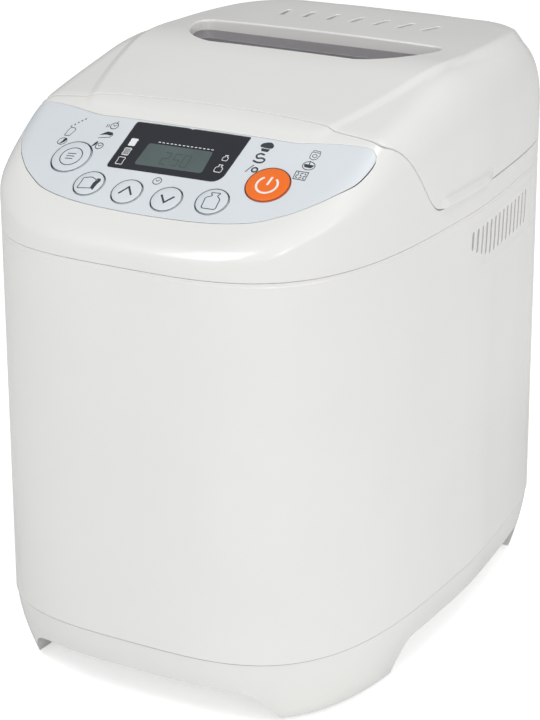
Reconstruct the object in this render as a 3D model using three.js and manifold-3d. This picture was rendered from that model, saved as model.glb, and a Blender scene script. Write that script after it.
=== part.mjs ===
// Household bread machine: moulded body, hinged lid with a window, sloping control panel,
// baking chamber with a removable pan, and the belt drive that turns the kneading paddle.
// Millimetres, +Z up. The control panel faces -Y, the machine's right side is +X, and the
// origin is on the table, under the middle of the machine.

import * as THREE from 'three';
import { mergeVertices } from 'three/addons/utils/BufferGeometryUtils.js';
import Module from 'manifold-3d';

const wasm = await Module();
wasm.setup();

// ---------------------------------------------------------------- driving dimensions

const GAP = 0.3;

// Plan outline: a super-ellipse, rounder at the front, squarer and slightly narrower behind.
const HALF_WIDTH_LOW = 113.8;
const HALF_WIDTH_TOP = 111.7;
const FRONT_LOW = 161.5;
const FRONT_TOP = 164;
const REAR = 164;
const FRONT_POWER = 3.46;
const REAR_POWER = 5.8;
const REAR_TAPER = 0.00094;
const TAPER_EASE = 40;
const RING_POINTS = 40;

// Heights of the seams, from the table up.
const BASE_SEAM_Z = 38;
const BODY_TOP_Z = 244.3;
const LID_EDGE_Z = 255.5;
const WALL = 2.5;
const SKIN = 3;

// Crown of the head: three slopes, the control panel, the front of the lid and its roof.
const PANEL_Z = 351.8;
const PANEL_SLOPE = 0.589;
const LID_FRONT_Z = 323.2;
const LID_FRONT_SLOPE = 0.231;
const ROOF_Z = 322.9;
const ROOF_DROP = 3.1;
const ROOF_LENGTH = 134;

// Raised field in the middle of the head, and the rounded shoulder outside it.
const FIELD_HALF_WIDTH = 93;
const FIELD_WIDEST_Y = 47;
const FIELD_NARROWING = 0.0014;
const FIELD_FRONT_Y = -84;
const FIELD_REAR_Y = 135;
const FIELD_EDGE = 4;
const SIDE_STEP = 2.3;
const REAR_STEP = 5;
const SIDE_CROWN = 1.4;
const SHOULDER_POWER = 2.6;
const FRONT_FILLET = 6.5;
const SHOULDER = { side: 21, front: 9.5, rear: 45 };
const WALL_TOP = { side: 270, front: 260, rear: 265 };

// Seam between the lid and the frame: across the crease, then down each side in an S.
const SEAM_GAP = 0.6;
const SEAM_RISE = 40;
const SEAM_TURN_Y = -32;
const SEAM_LENGTH = 44;
const SEAM_TOP_Y = -79.5;
const SEAM_TOP_Z = 300;
const REAR_RELIEF_Y = 150;
const BEYOND = 175;

// Lid: window, steam vents, finger ledges.
const WINDOW_HALF_WIDTH = 76;
const WINDOW_FRONT_Y = -3;
const WINDOW_REAR_Y = 47;
const WINDOW_CORNER = 8;
const WINDOW_GLASS_Z = 311;
const WINDOW_GLASS = 3;
const STEAM_VENTS = 7;
const STEAM_VENT_PITCH = 15.5;
const STEAM_VENT_Y = 85.3;
const STEAM_VENT_LENGTH = 15.3;
const STEAM_VENT_WIDTH = 2.4;
const STEAM_VENT_FAN = 0.0022;
const LEDGE_FRONT_Y = -31;
const LEDGE_REAR_Y = 34;
const LEDGE_PROUD = 2;
const LINER_Z = 257;
const LINER_THICK = 1.5;

// Lid hinge at the rear edge.
const HINGE_Y = 161.4;
const HINGE_Z = 259.6;
const HINGE_BARREL = 2.4;
const HINGE_BORE = 1.4;
const HINGE_PIN = 1.1;
const HINGE_INNER_X = 34;
const HINGE_OUTER_X = 60;
const HINGE_KNUCKLE = 6;

// Side vents: raked slots in both flanks of the body.
const SIDE_VENTS = 14;
const SIDE_VENT_FRONT_Y = 7.8;
const SIDE_VENT_PITCH = 6.88;
const SIDE_VENT_TOP_Z = 233;
const SIDE_VENT_LOW_Z = 214.3;
const SIDE_VENT_FIRST_RISE = 8.7;
const SIDE_VENT_WIDTH = 2.9;
const SIDE_VENT_RAKE = 2.5;

// Deck of the frame round the mouth of the chamber.
const DECK_Z = 248.5;

// Control panel.
const OVERLAY = 1;
const DISPLAY = { halfWidth: 33.6, frontY: -120, rearY: -91.6 };
const PANEL_MIDDLE_Y = -112;
const BOARD_DEPTH = 14;
const BOARD = { width: 150, height: 58, thick: 1.6 };
const KEY_TRAVEL_ROOM = 0.7;
const KEY_STEM_Z = -8.5;
const KEYS = [
  { name: 'key_menu', x: -59, y: -116.5, radius: 13, colour: 0xdde4ec },
  { name: 'key_browning', x: -37.4, y: -131.8, radius: 9.8, colour: 0xdde4ec },
  { name: 'key_up', x: -13.7, y: -133.2, radius: 9.8, colour: 0xdde4ec },
  { name: 'key_down', x: 9.5, y: -133.4, radius: 9.8, colour: 0xdde4ec },
  { name: 'key_weight', x: 34.4, y: -130.9, radius: 9.8, colour: 0xdde4ec },
  { name: 'key_start', x: 56.9, y: -115.6, radius: 13.6, colour: 0xf8731e },
];

// Baking chamber, pan and drive share one upright axis.
const DRIVE_Y = 34;
const CHAMBER = { halfWidth: 86, halfDepth: 90, corner: 22, floorZ: 91, rimZ: 248.2, sheet: 1.2, flange: 6 };
const CHAMBER_FRONT_Y = DRIVE_Y - CHAMBER.halfDepth;
const SEAL = { lowZ: 252, inner: 2.5, outer: 6 };
const BRACKET = { inner: 56, outer: 72, web: 61.6, sheet: 1.6, frontY: -24, rearY: 92 };
const ELEMENT = { z: 118, tube: 3.25, halfWidth: 77.5, halfDepth: 84.5, bend: 18, lead: 18 };
const SENSOR = { x: -52, z: 160, tube: 3, washer: 6 };
const FUSE = { x: 45, z: 188, tube: 3 };
const PAN = {
  halfWidth: 70, halfDepth: 76, corner: 18, floorZ: 104, rimZ: 228, sheet: 1.5, draft: 5, lip: 2.5,
};
const PIVOT_Z = 233;
const EAR = { foot: 9, round: 5, thick: 2 };
const HANDLE = { halfWidth: 75.5, rearY: 116.5, bend: 14, hook: 4, wire: 2.4, end: 65 };
const SHAFT = 4;
const SHAFT_BORE = SHAFT + GAP;
const PADDLE = { lowZ: 118.5, hubTopZ: 138, hub: 9, fin: 2.2 };

// Belt drive under the chamber.
const COUPLING = { lowZ: 88.3, discZ: 93, topZ: 96, hub: 8, disc: 16 };
const BEARING = { lowZ: 60, neckZ: 84, seatZ: 87.5, topZ: 90.7, neck: 12, flange: 22 };
const PULLEY_LOW_Z = 44;
const PULLEY_TOP_Z = 56;
const LARGE_PULLEY = 45;
const SMALL_PULLEY = 9;
const PULLEY_RIM = 1.5;
const PULLEY_LIP = 3;
const BELT = 2;
const MOTOR = { y: -105, radius: 36, lowZ: 62, waistZ: 94, topZ: 125, shaft: 3, shaftTopZ: 142 };
const FAN = { lowZ: 128, topZ: 138, hub: 8, blades: 7, blade: 24, pitch: 0.6 };
const MOTOR_PLATE = { z: 59, thick: 2.7, halfX: 46, halfY: 44, leg: 4 };
const CAPACITOR = { x: 80, y: -84, radius: 14, height: 44 };

// Base and feet.
const ARCH_Z = 21;
const FLOOR_TOP_Z = ARCH_Z + WALL;
const FRONT_ARCH = { foot: 77, shoulder: 54, lean: 4 };
const REAR_ARCH = { foot: 60, shoulder: 52, lean: 1 };
const SIDE_ARCH = { front: -64, rear: 118, bend: 16 };
const SKIRT_TUCK = 9.5;
const SKIRT_LOW_Z = 2;
const BOARD_Z = 32;
const FOOT_PAD = { radius: 8, height: 3.7 };
const GLAND = { x: -62, z: 52, radius: 6, flange: 2.5, bore: 3.2, innerY: 153, flangeY: 155.8, outerY: 163 };
const FEET = [
  { name: 'foot_front_left', x: -86.5, y: -92 },
  { name: 'foot_front_right', x: 86.5, y: -92 },
  { name: 'foot_rear_left', x: -72.5, y: 134 },
  { name: 'foot_rear_right', x: 72.5, y: 134 },
];

// ---------------------------------------------------------------- solids and meshes

// Merges shared corners, drops collapsed faces and turns the faces outwards.
function closed(geometry) {
  const bare = new THREE.BufferGeometry();
  bare.setAttribute('position', geometry.getAttribute('position').clone());
  if (geometry.index) {
    bare.setIndex(geometry.index.clone());
  }
  const merged = mergeVertices(bare, 1e-4);
  const index = merged.index.array;
  const position = merged.getAttribute('position');
  const corner = [new THREE.Vector3(), new THREE.Vector3(), new THREE.Vector3()];
  const faces = [];
  let volume = 0;
  for (let i = 0; i < index.length; i += 3) {
    const [a, b, c] = [index[i], index[i + 1], index[i + 2]];
    if (a === b || b === c || c === a) {
      continue;
    }
    faces.push(a, b, c);
    corner[0].fromBufferAttribute(position, a);
    corner[1].fromBufferAttribute(position, b);
    corner[2].fromBufferAttribute(position, c);
    volume += corner[0].dot(corner[1].cross(corner[2]));
  }
  merged.setIndex(volume < 0 ? faces.reverse() : faces);
  return merged;
}

function solidOf(geometry) {
  const shell = closed(geometry);
  return new wasm.Manifold(new wasm.Mesh({
    numProp: 3,
    vertProperties: new Float32Array(shell.getAttribute('position').array),
    triVerts: new Uint32Array(shell.index.array),
  }));
}

function geometryOf(solid) {
  const mesh = solid.getMesh();
  const geometry = new THREE.BufferGeometry();
  geometry.setAttribute('position', new THREE.BufferAttribute(mesh.vertProperties, mesh.numProp));
  geometry.setIndex(new THREE.BufferAttribute(mesh.triVerts, 1));
  return geometry;
}

function join(...geometries) {
  return geometries.map(solidOf).reduce((sum, solid) => sum.add(solid));
}

function cut(solid, ...geometries) {
  return geometries.map(solidOf).reduce((rest, tool) => rest.subtract(tool), solid);
}

// ---------------------------------------------------------------- forms

function polygon(points) {
  return new THREE.Shape(points.map(([x, y]) => new THREE.Vector2(x, y)));
}

function roundedRectangle(halfX, halfY, radius, middleX = 0, middleY = 0) {
  const shape = new THREE.Shape();
  shape.absarc(middleX + halfX - radius, middleY + halfY - radius, radius, 0, Math.PI / 2);
  shape.absarc(middleX - halfX + radius, middleY + halfY - radius, radius, Math.PI / 2, Math.PI);
  shape.absarc(middleX - halfX + radius, middleY - halfY + radius, radius, Math.PI, Math.PI * 1.5);
  shape.absarc(middleX + halfX - radius, middleY - halfY + radius, radius, Math.PI * 1.5, Math.PI * 2);
  return shape;
}

function circle(radius, x = 0, y = 0) {
  return new THREE.Shape().absarc(x, y, radius, 0, Math.PI * 2);
}

// Upright prism from z0 to z1.
function prism(shape, z0, z1, curveSegments = 4) {
  const geometry = new THREE.ExtrudeGeometry(shape, { depth: z1 - z0, bevelEnabled: false, curveSegments });
  return geometry.translate(0, 0, z0);
}

// Prism along X of a shape drawn in (y, z).
function prismX(shape, x0, x1, curveSegments = 4) {
  const turn = new THREE.Matrix4().makeBasis(
    new THREE.Vector3(0, 1, 0), new THREE.Vector3(0, 0, 1), new THREE.Vector3(1, 0, 0));
  return prism(shape, x0, x1, curveSegments).applyMatrix4(turn);
}

// Prism along Y of a shape drawn in (x, z).
function prismY(shape, y0, y1, curveSegments = 4) {
  const turn = new THREE.Matrix4().makeBasis(
    new THREE.Vector3(1, 0, 0), new THREE.Vector3(0, 0, 1), new THREE.Vector3(0, -1, 0));
  return prism(shape, -y1, -y0, curveSegments).applyMatrix4(turn);
}

function block(x0, x1, y0, y1, z0, z1) {
  const box = new THREE.BoxGeometry(x1 - x0, y1 - y0, z1 - z0);
  return box.translate((x0 + x1) / 2, (y0 + y1) / 2, (z0 + z1) / 2);
}

function rod(radius, z0, z1, x = 0, y = 0, sides = 16) {
  const cylinder = new THREE.CylinderGeometry(radius, radius, z1 - z0, sides).rotateX(Math.PI / 2);
  return cylinder.translate(x, y, (z0 + z1) / 2);
}

function rodX(radius, x0, x1, y, z, sides = 12) {
  const cylinder = new THREE.CylinderGeometry(radius, radius, x1 - x0, sides).rotateZ(-Math.PI / 2);
  return cylinder.translate((x0 + x1) / 2, y, z);
}

function rodY(radius, y0, y1, x, z, sides = 12) {
  const cylinder = new THREE.CylinderGeometry(radius, radius, y1 - y0, sides);
  return cylinder.translate(x, (y0 + y1) / 2, z);
}

// Turned form about the Z axis, from [radius, z] points.
function turned(profile, segments = 18) {
  const points = profile.map(([radius, z]) => new THREE.Vector2(radius, z));
  return new THREE.LatheGeometry(points, segments).rotateX(Math.PI / 2);
}

// Turned form round a bore: the profile closes on itself.
function turnedRing(profile, segments) {
  return turned([...profile, profile[0]], segments);
}

// Polyline with rounded corners, from [x, y, corner radius] points at one height.
function bentWire(points, z) {
  const path = new THREE.CurvePath();
  const at = ([x, y]) => new THREE.Vector3(x, y, z);
  let start = at(points[0]);
  points.slice(1).forEach((point, i) => {
    const knee = at(point);
    const radius = point[2] ?? 0;
    const next = points[i + 2];
    if (!next) {
      path.add(new THREE.LineCurve3(start, knee));
      return;
    }
    const before = knee.clone().add(start.clone().sub(knee).setLength(radius));
    const after = knee.clone().add(at(next).sub(knee).setLength(radius));
    path.add(new THREE.LineCurve3(start, before));
    path.add(new THREE.QuadraticBezierCurve3(before, knee, after));
    start = after;
  });
  return path;
}

function mirrored(points) {
  return [...points, ...points.map(([x, ...rest]) => [-x, ...rest]).reverse()];
}

function tube(curve, radius, steps, sides) {
  const section = new THREE.Shape();
  for (let i = 0; i < sides; i += 1) {
    const angle = i / sides * Math.PI * 2;
    section[i ? 'lineTo' : 'moveTo'](radius * Math.cos(angle), radius * Math.sin(angle));
  }
  return new THREE.ExtrudeGeometry(section, { steps, extrudePath: curve, bevelEnabled: false });
}

// Skin over rings of equal length; a flat end is closed by a fan, a pointed end closes itself.
function loft(rings, flatEnds = true) {
  const count = rings[0].length;
  const positions = rings.flat().flatMap((point) => [point.x, point.y, point.z]);
  const faces = [];
  for (let ring = 0; ring < rings.length - 1; ring += 1) {
    for (let i = 0; i < count; i += 1) {
      const a = ring * count + i;
      const b = ring * count + (i + 1) % count;
      faces.push(a, b, b + count, a, b + count, a + count);
    }
  }
  if (flatEnds) {
    for (const end of [0, rings.length - 1]) {
      const middle = new THREE.Vector3();
      rings[end].forEach((point) => middle.addScaledVector(point, 1 / count));
      const hub = positions.length / 3;
      positions.push(middle.x, middle.y, middle.z);
      for (let i = 0; i < count; i += 1) {
        const a = end * count + i;
        const b = end * count + (i + 1) % count;
        faces.push(...(end ? [a, b, hub] : [b, a, hub]));
      }
    }
  }
  const geometry = new THREE.BufferGeometry();
  geometry.setAttribute('position', new THREE.Float32BufferAttribute(positions, 3));
  geometry.setIndex(faces);
  return geometry;
}

// ---------------------------------------------------------------- plan outline

const { clamp, lerp, smoothstep } = THREE.MathUtils;

// Width left behind the middle: the flanks draw in along an eased start, so they have no crease.
function taperAt(y) {
  const eased = y < TAPER_EASE ? Math.max(0, y) ** 2 / (2 * TAPER_EASE) : y - TAPER_EASE / 2;
  return 1 - REAR_TAPER * eased;
}

function outlinePoint(angle, z, inset) {
  const rise = clamp((z - BASE_SEAM_Z) / (BODY_TOP_Z - BASE_SEAM_Z), 0, 1);
  const front = Math.sin(angle) < 0;
  const halfWidth = lerp(HALF_WIDTH_LOW, HALF_WIDTH_TOP, rise) - inset;
  const halfDepth = (front ? lerp(FRONT_LOW, FRONT_TOP, rise) : REAR) - inset;
  const power = front ? FRONT_POWER : REAR_POWER;
  const spread = power / 4 + 0.5;
  const sine = Math.abs(Math.sin(angle)) ** spread;
  const cosine = Math.abs(Math.cos(angle)) ** spread;
  const length = Math.hypot(sine, cosine);
  const y = Math.sign(Math.sin(angle)) * halfDepth * (sine / length) ** (2 / power);
  const x = Math.sign(Math.cos(angle)) * halfWidth * taperAt(y) * (cosine / length) ** (2 / power);
  return new THREE.Vector3(x, y, z);
}

function outlineRing(z, inset = 0) {
  return Array.from({ length: RING_POINTS },
    (_, i) => outlinePoint((i + 0.5) / RING_POINTS * Math.PI * 2, z, inset));
}

function headHalfWidth(y, inset) {
  const front = y < 0;
  const reach = Math.min(1, Math.abs(y) / ((front ? FRONT_TOP : REAR) - inset));
  const power = front ? FRONT_POWER : REAR_POWER;
  return (HALF_WIDTH_TOP - inset) * taperAt(y) * (1 - reach ** power) ** (1 / power);
}

// ---------------------------------------------------------------- head surface

// The lower of two heights, blended over a distance.
function blendLow(a, b, reach) {
  const share = clamp(0.5 + 0.5 * (b - a) / reach, 0, 1);
  return lerp(b, a, share) - reach * share * (1 - share);
}

function fieldHalfWidth(y) {
  return FIELD_HALF_WIDTH - FIELD_NARROWING * (FIELD_WIDEST_Y - y) ** 2;
}

// Distance outside the raised field, negative on it.
function fieldDistance(x, y) {
  const side = Math.abs(x) - fieldHalfWidth(y);
  const front = FIELD_FRONT_Y - y;
  const rear = y - FIELD_REAR_Y;
  return -blendLow(blendLow(-side, -front, 6), -rear, 20);
}

function crownHeight(x, y) {
  const panel = PANEL_Z + PANEL_SLOPE * y;
  const lidFront = LID_FRONT_Z + LID_FRONT_SLOPE * y;
  const roof = ROOF_Z - ROOF_DROP * (Math.max(0, y) / ROOF_LENGTH) ** 2;
  const middle = blendLow(blendLow(panel, lidFront, 3), roof, 4);
  const rounding = SIDE_CROWN * (Math.abs(x) / 90) ** 2.5;
  const step = Math.max(SIDE_STEP * (Math.abs(x) / 100) ** 3, REAR_STEP * smoothstep(y, 95, FIELD_REAR_Y));
  return middle - rounding - step * smoothstep(fieldDistance(x, y), -FIELD_EDGE, FIELD_EDGE);
}

// Where the ray from the middle through (x, y) leaves the outline.
function edgeAlong(x, y) {
  const reach = Math.hypot(x, y) + 1e-9;
  let near = 0;
  let far = 260;
  for (let i = 0; i < 40; i += 1) {
    const middle = (near + far) / 2;
    const inside = Math.abs(x) / reach * middle < headHalfWidth(y / reach * middle, 0);
    const within = Math.abs(y) / reach * middle < (y < 0 ? FRONT_TOP : REAR);
    [near, far] = inside && within ? [middle, far] : [near, middle];
  }
  const front = y < 0;
  const along = Math.abs(y) / reach * near / (front ? FRONT_TOP : REAR);
  const share = Math.min(1, along ** (front ? FRONT_POWER : REAR_POWER));
  return { distance: near - reach, scale: near / reach, front, share };
}

function headHeight(x, y) {
  const edge = edgeAlong(x, y);
  const end = edge.front ? 'front' : 'rear';
  const radius = lerp(SHOULDER.side, SHOULDER[end], edge.share);
  const crownAtEdge = crownHeight(x * edge.scale, y * edge.scale);
  const wallTop = blendLow(lerp(WALL_TOP.side, WALL_TOP[end], edge.share), crownAtEdge - FRONT_FILLET, 4);
  const inwards = clamp(edge.distance / radius, 0, 1);
  const swell = (1 - (1 - inwards) ** SHOULDER_POWER) ** (1 / SHOULDER_POWER);
  return lerp(wallTop, crownHeight(x, y), swell);
}

// The underside of the skin follows the outside a little further out, so corners stay thick.
function innerHeight(x, y) {
  const reach = Math.hypot(x, y) + 1e-9;
  const grow = (reach + 2) / reach;
  return headHeight(x * grow, y * grow) - SKIN;
}

const EDGE_ROWS = { fine: [0, 0.6, 3, 9, 22], coarse: [0, 1, 8, 22] };
const MIDDLE_ROWS = {
  fine: [-85, -79, -76, -73, -69, -44, -16, -7, -2, 3, 14, 50, 96],
  coarse: [-85, -74, -44, -8, 30, 96],
};
const REAR_ROWS = { fine: [50, 36, 24, 13, 5, 1, 0], coarse: [40, 20, 6, 0.8, 0] };
const EDGE_COLUMNS = { fine: [0, 0.5, 2.2, 6.5, 17], coarse: [0, 1.5, 5, 12] };

// Solid head down to z = bottom: cross-sections along Y, closed to a line at both ends.
function head({ inset = 0, drop = 0, bottom = BODY_TOP_Z + GAP, detail = 'fine', height = headHeight }) {
  const rows = [
    ...EDGE_ROWS[detail].map((distance) => distance - FRONT_TOP + inset),
    ...MIDDLE_ROWS[detail],
    ...REAR_ROWS[detail].map((distance) => REAR - inset - distance),
  ];
  const sections = rows.map((y) => {
    const halfWidth = headHalfWidth(y, inset);
    const scale = Math.min(1, halfWidth / 40);
    const field = Math.min(fieldHalfWidth(y) + FIELD_EDGE, halfWidth - 24 * scale);
    const shoulder = EDGE_COLUMNS[detail].map((distance) => halfWidth - distance * scale);
    const edge = [field, field - 2 * FIELD_EDGE * scale];
    const inner = [0.55].map((share) => share * edge[1]);
    const right = [...shoulder, ...edge, ...inner];
    const across = [...right, 0, ...right.map((x) => -x).reverse()];
    const top = across.map((x) => new THREE.Vector3(x, y, height(x, y) - drop));
    const last = across.length - 1;
    return [new THREE.Vector3(across[0], y, bottom), ...top, new THREE.Vector3(across[last], y, bottom)];
  });
  return loft(sections, false);
}

const headSolid = solidOf(head({}));
const headHollow = solidOf(head({
  inset: SKIN, bottom: BODY_TOP_Z - 5, detail: 'coarse', height: innerHeight,
}));
const headSkin = headSolid.subtract(headHollow);

function headLowered(drop, inset = 0) {
  return solidOf(head({ drop, inset, bottom: BODY_TOP_Z - 10 }));
}

// ---------------------------------------------------------------- lid and frame seam

function seamHeight(y) {
  return LID_EDGE_Z + SEAM_RISE * smoothstep((SEAM_TURN_Y - y) / SEAM_LENGTH, 0, 1);
}

// Everything behind and above the seam, moved back and up by a clearance.
function lidZone(clearance, rearEdgeZ) {
  const side = [[SEAM_TOP_Y + clearance, 350], [SEAM_TOP_Y + clearance, SEAM_TOP_Z + clearance]];
  for (let y = SEAM_TURN_Y - SEAM_LENGTH; y <= SEAM_TURN_Y; y += 5.5) {
    side.push([y + clearance, seamHeight(y) + clearance]);
  }
  side.push([REAR_RELIEF_Y, LID_EDGE_Z + clearance], [REAR_RELIEF_Y + 2, rearEdgeZ]);
  side.push([BEYOND, rearEdgeZ], [BEYOND, 350]);
  const crease = new THREE.Shape();
  crease.moveTo(-130, 180);
  crease.lineTo(-130, -95);
  crease.lineTo(-99, -95);
  crease.lineTo(-99, -75 + clearance);
  crease.splineThru([[-88, -77.4], [-75, -78.4], [-64, -75.9], [-33, -73.7], [0, -73], [33, -73.7],
    [64, -75.9], [75, -78.4], [88, -77.4], [99, -75]].map(([x, y]) => new THREE.Vector2(x, y + clearance)));
  crease.lineTo(99, -95);
  crease.lineTo(130, -95);
  crease.lineTo(130, 180);
  return solidOf(prismX(polygon(side), -125, 125)).intersect(solidOf(prism(crease, 240, 345, 2)));
}

function hingeSpans(from, to) {
  return [[-to, -from], [from, to]];
}

// Two eyes on the frame, or the one between them on the lid, each on its own web.
function hingeBarrel(x0, x1, web) {
  return join(rodX(HINGE_BARREL, x0, x1, HINGE_Y, HINGE_Z, 10), block(x0, x1, ...web));
}

const hingePinBore = rodX(HINGE_BORE, -HINGE_OUTER_X - 1, HINGE_OUTER_X + 1, HINGE_Y, HINGE_Z, 8);

// ---------------------------------------------------------------- lid

function windowShape(grow) {
  const front = WINDOW_FRONT_Y - grow;
  const rear = WINDOW_REAR_Y + grow;
  const side = WINDOW_HALF_WIDTH + grow;
  const corner = WINDOW_CORNER + grow;
  const shape = new THREE.Shape();
  shape.moveTo(-57, front);
  shape.lineTo(57, front);
  shape.quadraticCurveTo(side - 3, front + 6, side, 27);
  shape.lineTo(side, rear - corner);
  shape.absarc(side - corner, rear - corner, corner, 0, Math.PI / 2);
  shape.lineTo(corner - side, rear);
  shape.absarc(corner - side, rear - corner, corner, Math.PI / 2, Math.PI);
  shape.lineTo(-side, 27);
  shape.quadraticCurveTo(3 - side, front + 6, -57, front);
  return shape;
}

function steamVents() {
  return Array.from({ length: STEAM_VENTS }, (_, i) => {
    const x = (i - (STEAM_VENTS - 1) / 2) * STEAM_VENT_PITCH;
    const slot = roundedRectangle(STEAM_VENT_WIDTH / 2, STEAM_VENT_LENGTH / 2, 1);
    return prism(slot, 300, 330, 1).rotateZ(-x * STEAM_VENT_FAN).translate(x, STEAM_VENT_Y, 0);
  });
}

// Lip to lift the lid by, swelling out of the flank and fading at both ends.
function fingerLedge(side) {
  const sections = [];
  for (let share = 0; share <= 1.001; share += 0.2) {
    const y = lerp(LEDGE_FRONT_Y, LEDGE_REAR_Y, share);
    const wall = headHalfWidth(y, 0);
    const proud = 0.7 + (LEDGE_PROUD - 0.7) * Math.sin(Math.PI * clamp(share, 0, 1)) ** 0.6;
    const profile = [
      [wall - 1.5, LID_EDGE_Z + 7], [wall + 0.3 * proud, LID_EDGE_Z + 5.5], [wall + proud, LID_EDGE_Z + 2],
      [wall + proud, LID_EDGE_Z - 0.6], [wall + proud - 0.3, LID_EDGE_Z - 1], [wall + GAP, LID_EDGE_Z - 1],
      [wall + GAP, LID_EDGE_Z + SEAM_GAP], [wall - 1.5, LID_EDGE_Z + SEAM_GAP],
    ];
    sections.push(profile.map(([x, z]) => new THREE.Vector3(side * x, y, z)));
  }
  return loft(sections);
}

function lidCover() {
  const zone = lidZone(SEAM_GAP, LID_EDGE_Z + 1.2);
  const belowSkin = headLowered(SKIN / 2);
  const well = solidOf(prism(windowShape(WALL), LINER_Z + LINER_THICK + GAP, 330, 3)).intersect(belowSkin);
  const frontWall = solidOf(block(-103, 103, -66.5, -63.9, LINER_Z, 340)).intersect(belowSkin);
  let lid = headSkin.intersect(zone).add(well).add(frontWall);
  lid = lid.add(solidOf(fingerLedge(1))).add(solidOf(fingerLedge(-1)));
  for (const [x0, x1] of hingeSpans(HINGE_INNER_X - 0.4, HINGE_OUTER_X + 0.4)) {
    lid = cut(lid, block(x0, x1, 152, 170, 250, 263.4));
  }
  const eye = HINGE_KNUCKLE + 0.4;
  for (const [x0, x1] of hingeSpans(HINGE_INNER_X + eye, HINGE_OUTER_X - eye)) {
    lid = lid.add(hingeBarrel(x0, x1, [HINGE_Y - HINGE_BARREL, HINGE_Y + 1, HINGE_Z, 264.5]));
  }
  return cut(lid, prism(windowShape(0), WINDOW_GLASS_Z - GAP, 330), prism(windowShape(-WALL), 240, 330),
    hingePinBore, ...steamVents());
}

function lidLiner() {
  const rings = [LINER_Z, LINER_Z + LINER_THICK].map((z) => outlineRing(z, SKIN + 1.6));
  const plate = solidOf(loft(rings));
  const field = solidOf(block(-120, 120, -63.5, REAR_RELIEF_Y, LINER_Z - 1, LINER_Z + 5));
  return cut(plate.intersect(field), prism(windowShape(-WALL - 1), LINER_Z - 2, LINER_Z + 4));
}

function sealRing() {
  return cut(solidOf(loft([chamberRing(SEAL.outer, SEAL.lowZ), chamberRing(SEAL.outer, LINER_Z - GAP)])),
    loft([chamberRing(SEAL.inner, SEAL.lowZ - 1), chamberRing(SEAL.inner, LINER_Z)]));
}

// ---------------------------------------------------------------- control panel

function overlayShape(grow) {
  const half = [[0, -90.3], [40, -90], [53, -89.4], [68, -86.4], [80, -82.7], [92, -79.6], [100, -78.8],
    [101.4, -80], [99, -88], [94, -99.5], [86, -113.6], [77.5, -123.3], [67.5, -131], [54, -137.1],
    [34.6, -142.2], [12.8, -144.3]];
  const other = half.slice(1).reverse().map(([x, y]) => [-x, y]);
  const loop = [...half, [0, -144.5], ...other];
  return polygon(loop.map(([x, y]) => [x * (1 + grow / 100), -112 + (y + 112) * (1 + grow / 32)]));
}

function displayShape(grow) {
  const middleY = (DISPLAY.frontY + DISPLAY.rearY) / 2;
  const halfHeight = (DISPLAY.rearY - DISPLAY.frontY) / 2 + grow;
  return roundedRectangle(DISPLAY.halfWidth + grow, halfHeight, 1.2, 0, middleY);
}

// Frame of reference on the panel: X to the right, Y up the slope, Z out of the surface.
function panelPlace(x, y) {
  const step = 0.5;
  const along = new THREE.Vector3(2 * step, 0, headHeight(x + step, y) - headHeight(x - step, y)).normalize();
  const up = new THREE.Vector3(0, 2 * step, headHeight(x, y + step) - headHeight(x, y - step)).normalize();
  const normal = new THREE.Vector3().crossVectors(along, up).normalize();
  const across = new THREE.Vector3().crossVectors(up, normal);
  const place = new THREE.Matrix4().makeBasis(across, up, normal);
  return place.setPosition(x, y, headHeight(x, y));
}

const panelMiddle = panelPlace(0, PANEL_MIDDLE_Y);

function keyHole(key) {
  return rod(key.radius + 0.5, -20, 12, 0, 0, 14).applyMatrix4(panelPlace(key.x, key.y));
}

function panelOverlay() {
  const film = solidOf(prism(overlayShape(0), 250, 320)).intersect(headSolid).subtract(headLowered(OVERLAY));
  return cut(film, prism(displayShape(GAP), 250, 320), ...KEYS.map(keyHole));
}

function displayWindow() {
  return solidOf(prism(displayShape(0), 250, 320)).intersect(headSolid).subtract(headLowered(OVERLAY));
}

// Domed cap with a retaining flange under the panel and a stem over its switch.
function keyCap(key) {
  const r = key.radius;
  const profile = [[0, KEY_STEM_Z], [2.5, KEY_STEM_Z], [2.5, -5.2], [r + 1.4, -5.2], [r + 1.4, -4.2],
    [r, -4.2], [r, 0.6], [r - 0.6, 1.1], [0, 1.5]];
  return turned(profile, 14).applyMatrix4(panelPlace(key.x, key.y));
}

function controlBoard() {
  const half = BOARD.thick / 2;
  const outline = roundedRectangle(BOARD.width / 2, BOARD.height / 2, 3);
  const parts = [prism(outline, -BOARD_DEPTH - half, half - BOARD_DEPTH, 2).applyMatrix4(panelMiddle)];
  const toPanel = panelMiddle.clone().invert();
  for (const key of KEYS) {
    const place = panelPlace(key.x, key.y);
    const seat = new THREE.Vector3(0, 0, -12).applyMatrix4(place).applyMatrix4(toPanel);
    const stem = new THREE.Vector3(0, 0, KEY_STEM_Z).applyMatrix4(place).applyMatrix4(toPanel);
    const top = stem.z - KEY_TRAVEL_ROOM;
    const base = half - BOARD_DEPTH - 0.5;
    const keySwitch = block(seat.x - 3, seat.x + 3, seat.y - 3, seat.y + 3, base, top);
    parts.push(keySwitch.applyMatrix4(panelMiddle));
  }
  parts.push(block(-30, -12, -24, -12, -BOARD_DEPTH - 6, half - BOARD_DEPTH - 0.5).applyMatrix4(panelMiddle));
  return join(...parts);
}

function lcdModule() {
  const y = ((DISPLAY.frontY + DISPLAY.rearY) / 2 - PANEL_MIDDLE_Y) / Math.cos(Math.atan(PANEL_SLOPE));
  const glass = block(-27, 27, y - 11.5, y + 11.5, -8, -4.4);
  const legs = block(-24, 24, y - 10, y - 8, -BOARD_DEPTH + BOARD.thick / 2 + GAP, -7.5);
  return join(glass.applyMatrix4(panelMiddle), legs.applyMatrix4(panelMiddle));
}

// ---------------------------------------------------------------- upper frame

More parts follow.
